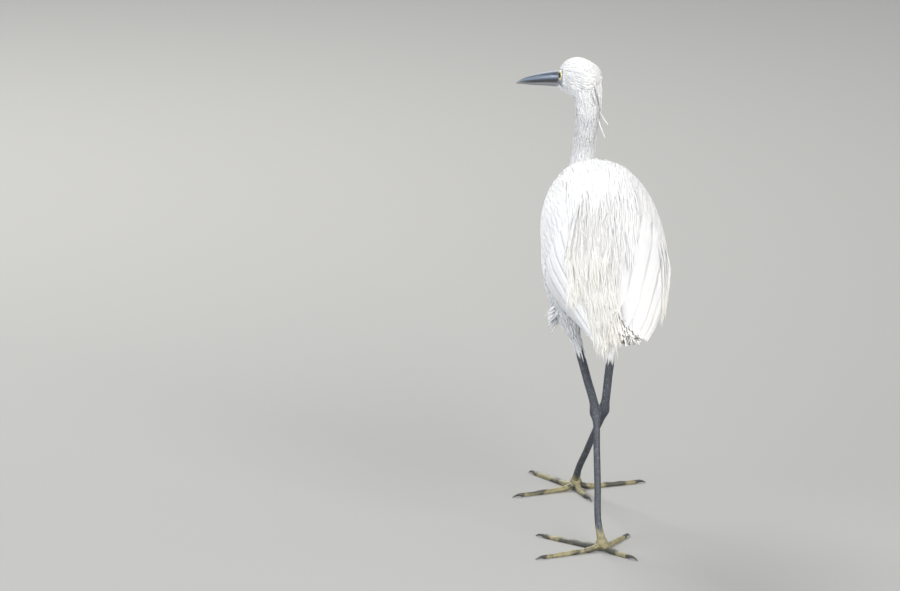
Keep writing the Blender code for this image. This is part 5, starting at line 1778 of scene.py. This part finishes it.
def makeFoot(side):
    foot = legs[side]["foot"]
    shapes, plates, clawShapes = [], [], []
    shape, plate = knobShape(foot)
    shapes.append(shape)
    plates.append(plate)
    for toe, size in toes["sizes"].items():
        line, wide, way = toeLine(foot, size, toes["turns"][side][toe])
        shape, plate = toeShape(line, wide, way, size[0] + 0.6)
        shapes.append(shape)
        plates.append(plate)
        keep = way >= size[0] - 1.5
        claw = tubeRings(line[keep], wide[keep] * 0.95, wide[keep] * 0.8, 20, side=(0, 0, 1))
        claw[..., 2] = np.maximum(claw[..., 2], 0)
        clawShapes.append(closedTube(claw))
    piece = makePiece("footSkin_" + side, joined(shapes), [footSkin],
                      ("foot_" + side, *(f"toe_{side}_{toe}" for toe in toes["sizes"])))
    setNumber(piece, "plate", np.concatenate(plates))
    makePiece("claws_" + side, joined(clawShapes), [clawHorn],
              tuple(f"claw_{side}_{toe}" for toe in toes["sizes"]))


def clawMaterial():
    made, tree, shader = newMaterial("clawHorn", colours["billBlack"], 0.48, Coat_Weight=0.08, Coat_Roughness=0.4)
    tree.links.new(addRamp(tree, addNoise(tree, 300, 4), (
        (0.3, (0.018, 0.018, 0.018)), (0.7, (0.07, 0.065, 0.055)))), shader.inputs["Base Color"])
    addBump(tree, shader, addNoise(tree, 1500, 3), 0.0002, 0.5)
    return made


clawHorn = clawMaterial()
for footSide in sides:
    makeFoot(footSide)
print("feet made")

# The feathering's ragged lower edge: short locks that run from each thigh down over the leg

cuff = {
    "locks": 110,
    "start": (-10, -1),  # along the leg from where its bare part begins
    "length": (5, 17),
    "over": (0.75, 0.35),  # height over the skin or the leg at the root and the tip
    "half": 0.5,
    "thick": 0.12,
}


def makeCuff(side):
    draw = np.random.default_rng(61 + sides[side])
    path = through(thighs[side]["path"], 80)
    radius = smooth(lengths(np.asarray(thighs[side]["path"], float)), thighs[side]["radius"], lengths(path))
    leg, _ = legLine(legs[side])
    edge = np.asarray(legs[side]["edge"], float)
    legWay = lengths(leg)
    legWay = legWay - legWay[np.linalg.norm(leg - edge, axis=1).argmin()]
    thighWay = lengths(path) - lengths(path)[-1]
    count = cuff["locks"]
    t = np.linspace(0, 1, 7)
    way = draw.uniform(*cuff["start"], (count, 1)) + draw.uniform(*cuff["length"], (count, 1)) * t
    turn = draw.uniform(0, 2 * math.pi, (count, 1)) + draw.normal(0, 0.12, (count, 1)) * t
    share = np.clip(way / 5, 0, 1)[..., None]
    above = np.stack([np.interp(way, thighWay, path[:, k]) for k in range(3)], -1)
    below = np.stack([np.interp(way, legWay, leg[:, k]) for k in range(3)], -1)
    middle = above + (below - above) * share
    wide = np.interp(way, thighWay, radius + skinLook["thighGrow"])
    wide = wide + (legs["shank"] - wide) * share[..., 0]
    wide = wide + cuff["over"][0] + (cuff["over"][1] - cuff["over"][0]) * t
    along = unit(np.gradient(middle, axis=1))
    first = unit(np.cross(along, (0.0, 0.0, 1.0) + 0 * along))
    second = np.cross(along, first)
    out = first * np.cos(turn)[..., None] + second * np.sin(turn)[..., None]
    line = middle + out * wide[..., None]
    sideways = np.cross(out, along)
    half = cuff["half"] * np.interp(t, (0, 0.35, 0.75, 1), (0.5, 1, 0.7, 0.1)) * draw.uniform(0.7, 1.2, (count, 1))
    lockPiece("cuff_" + side, lockShape(line, sideways, out, half, cuff["thick"]), line[:, 0],
              [feathers["coat"]])


for cuffSide in sides:
    makeCuff(cuffSide)

strayTuft = {
    "root": (-37.3, -11.5, 172.5),
    "way": (-0.78, -0.25, -0.58),
    "facing": (-0.45, -0.8, 0.3),
    "locks": 64,
    "reach": (7, 12),
}


# A tuft that stands out from the left thigh's side.
def makeStrayTuft():
    draw = np.random.default_rng(67)
    count = strayTuft["locks"]
    root = np.array(strayTuft["root"]) + draw.normal(0, 1, (count, 3)) * (0.8, 2.2, 3.0)
    way = unit(np.array(strayTuft["way"]) + draw.normal(0, 0.16, (count, 3)))
    t = np.linspace(0, 1, 6)[:, None]
    line = root[:, None] + way[:, None] * t * draw.uniform(*strayTuft["reach"], (count, 1, 1))
    line = line + np.array((0.0, 0.0, -1.6)) * t**2
    along = unit(np.gradient(line, axis=1))
    sideways = unit(np.cross(strayTuft["facing"], along))
    upward = np.cross(along, sideways)
    half = 0.75 * np.interp(t[:, 0], (0, 0.3, 1), (0.8, 1, 0.1))
    lockPiece("strayTuft", lockShape(line, sideways, upward, half, 0.12), line[:, 0], [feathers["coat"]])


makeStrayTuft()
print("cuffs made")



# Camera, lights and floor

view = {
    "across": (0.9914, -0.1305, 0.0),  # the photograph's own right, on the floor
    "down": 12.0,  # degrees that the camera looks down
    "aim": (-120.6, 178.7),  # the picture's middle, to the right and up
    "distance": 16.0,
    "lens": 806.4,
}


def makeCamera():
    tip = math.radians(view["down"])
    right = np.array(view["across"])
    level = np.array((-right[1], right[0], 0.0))
    look = level * math.cos(tip) - np.array((0, 0, math.sin(tip)))
    up = np.cross(right, look)
    middle = (right * view["aim"][0] + up * view["aim"][1] + centreShift) * mm
    camera = bpy.data.objects.new("camera", bpy.data.cameras.new("camera"))
    camera.data.lens = view["lens"]
    camera.data.sensor_width = 36
    camera.data.clip_start, camera.data.clip_end = 1, 100
    rotation = Matrix((right, up, -look)).transposed()
    camera.matrix_world = Matrix.Translation(Vector(middle - look * view["distance"])) @ rotation.to_4x4()
    bpy.context.scene.collection.objects.link(camera)
    bpy.context.scene.camera = camera


studio = {
    "floor": (0.28, 0.28, 0.272),
    "floorReach": 12.0,
    "world": (0.88, 0.90, 0.93),
    "worldStrength": 0.68,
    # place, size, power and colour of each area light, all aimed at the bird's middle
    "lights": (
        ("key", (0.9, -2.3, 1.25), 1.5, 86, (1.0, 0.97, 0.93)),
        ("fill", (-1.9, -1.4, 0.9), 1.6, 42, (0.92, 0.95, 1.0)),
        ("rim", (-0.6, 1.8, 1.6), 1.0, 52, (1.0, 0.98, 0.95)),
    ),
}


def makeStudio():
    reach = studio["floorReach"]
    corner = np.array([(-reach, -reach, 0), (reach, -reach, 0), (reach, reach, 0), (-reach, reach, 0)])
    mesh = makeMesh("floor", corner / mm - centreShift, [np.array([(0, 1, 2, 3)])])
    floor = bpy.data.objects.new("floor", mesh)
    bpy.context.scene.collection.objects.link(floor)
    mesh.materials.append(newMaterial("floorPaint", studio["floor"], 0.9)[0])
    world = bpy.data.worlds.new("studio")
    world.use_nodes = True
    world.node_tree.nodes["Background"].inputs["Color"].default_value = (*studio["world"], 1)
    world.node_tree.nodes["Background"].inputs["Strength"].default_value = studio["worldStrength"]
    bpy.context.scene.world = world
    for name, place, size, power, colour in studio["lights"]:
        lamp = bpy.data.lights.new(name, "AREA")
        lamp.size, lamp.energy, lamp.color = size, power, colour
        holder = bpy.data.objects.new(name, lamp)
        holder.location = place
        aim = Vector((0, 0, 0.2)) - Vector(place)
        holder.rotation_euler = aim.to_track_quat("-Z", "Y").to_euler()
        bpy.context.scene.collection.objects.link(holder)


makeCamera()
makeStudio()
bpy.context.scene.view_settings.view_transform = "Standard"
print("camera, lights and floor set")
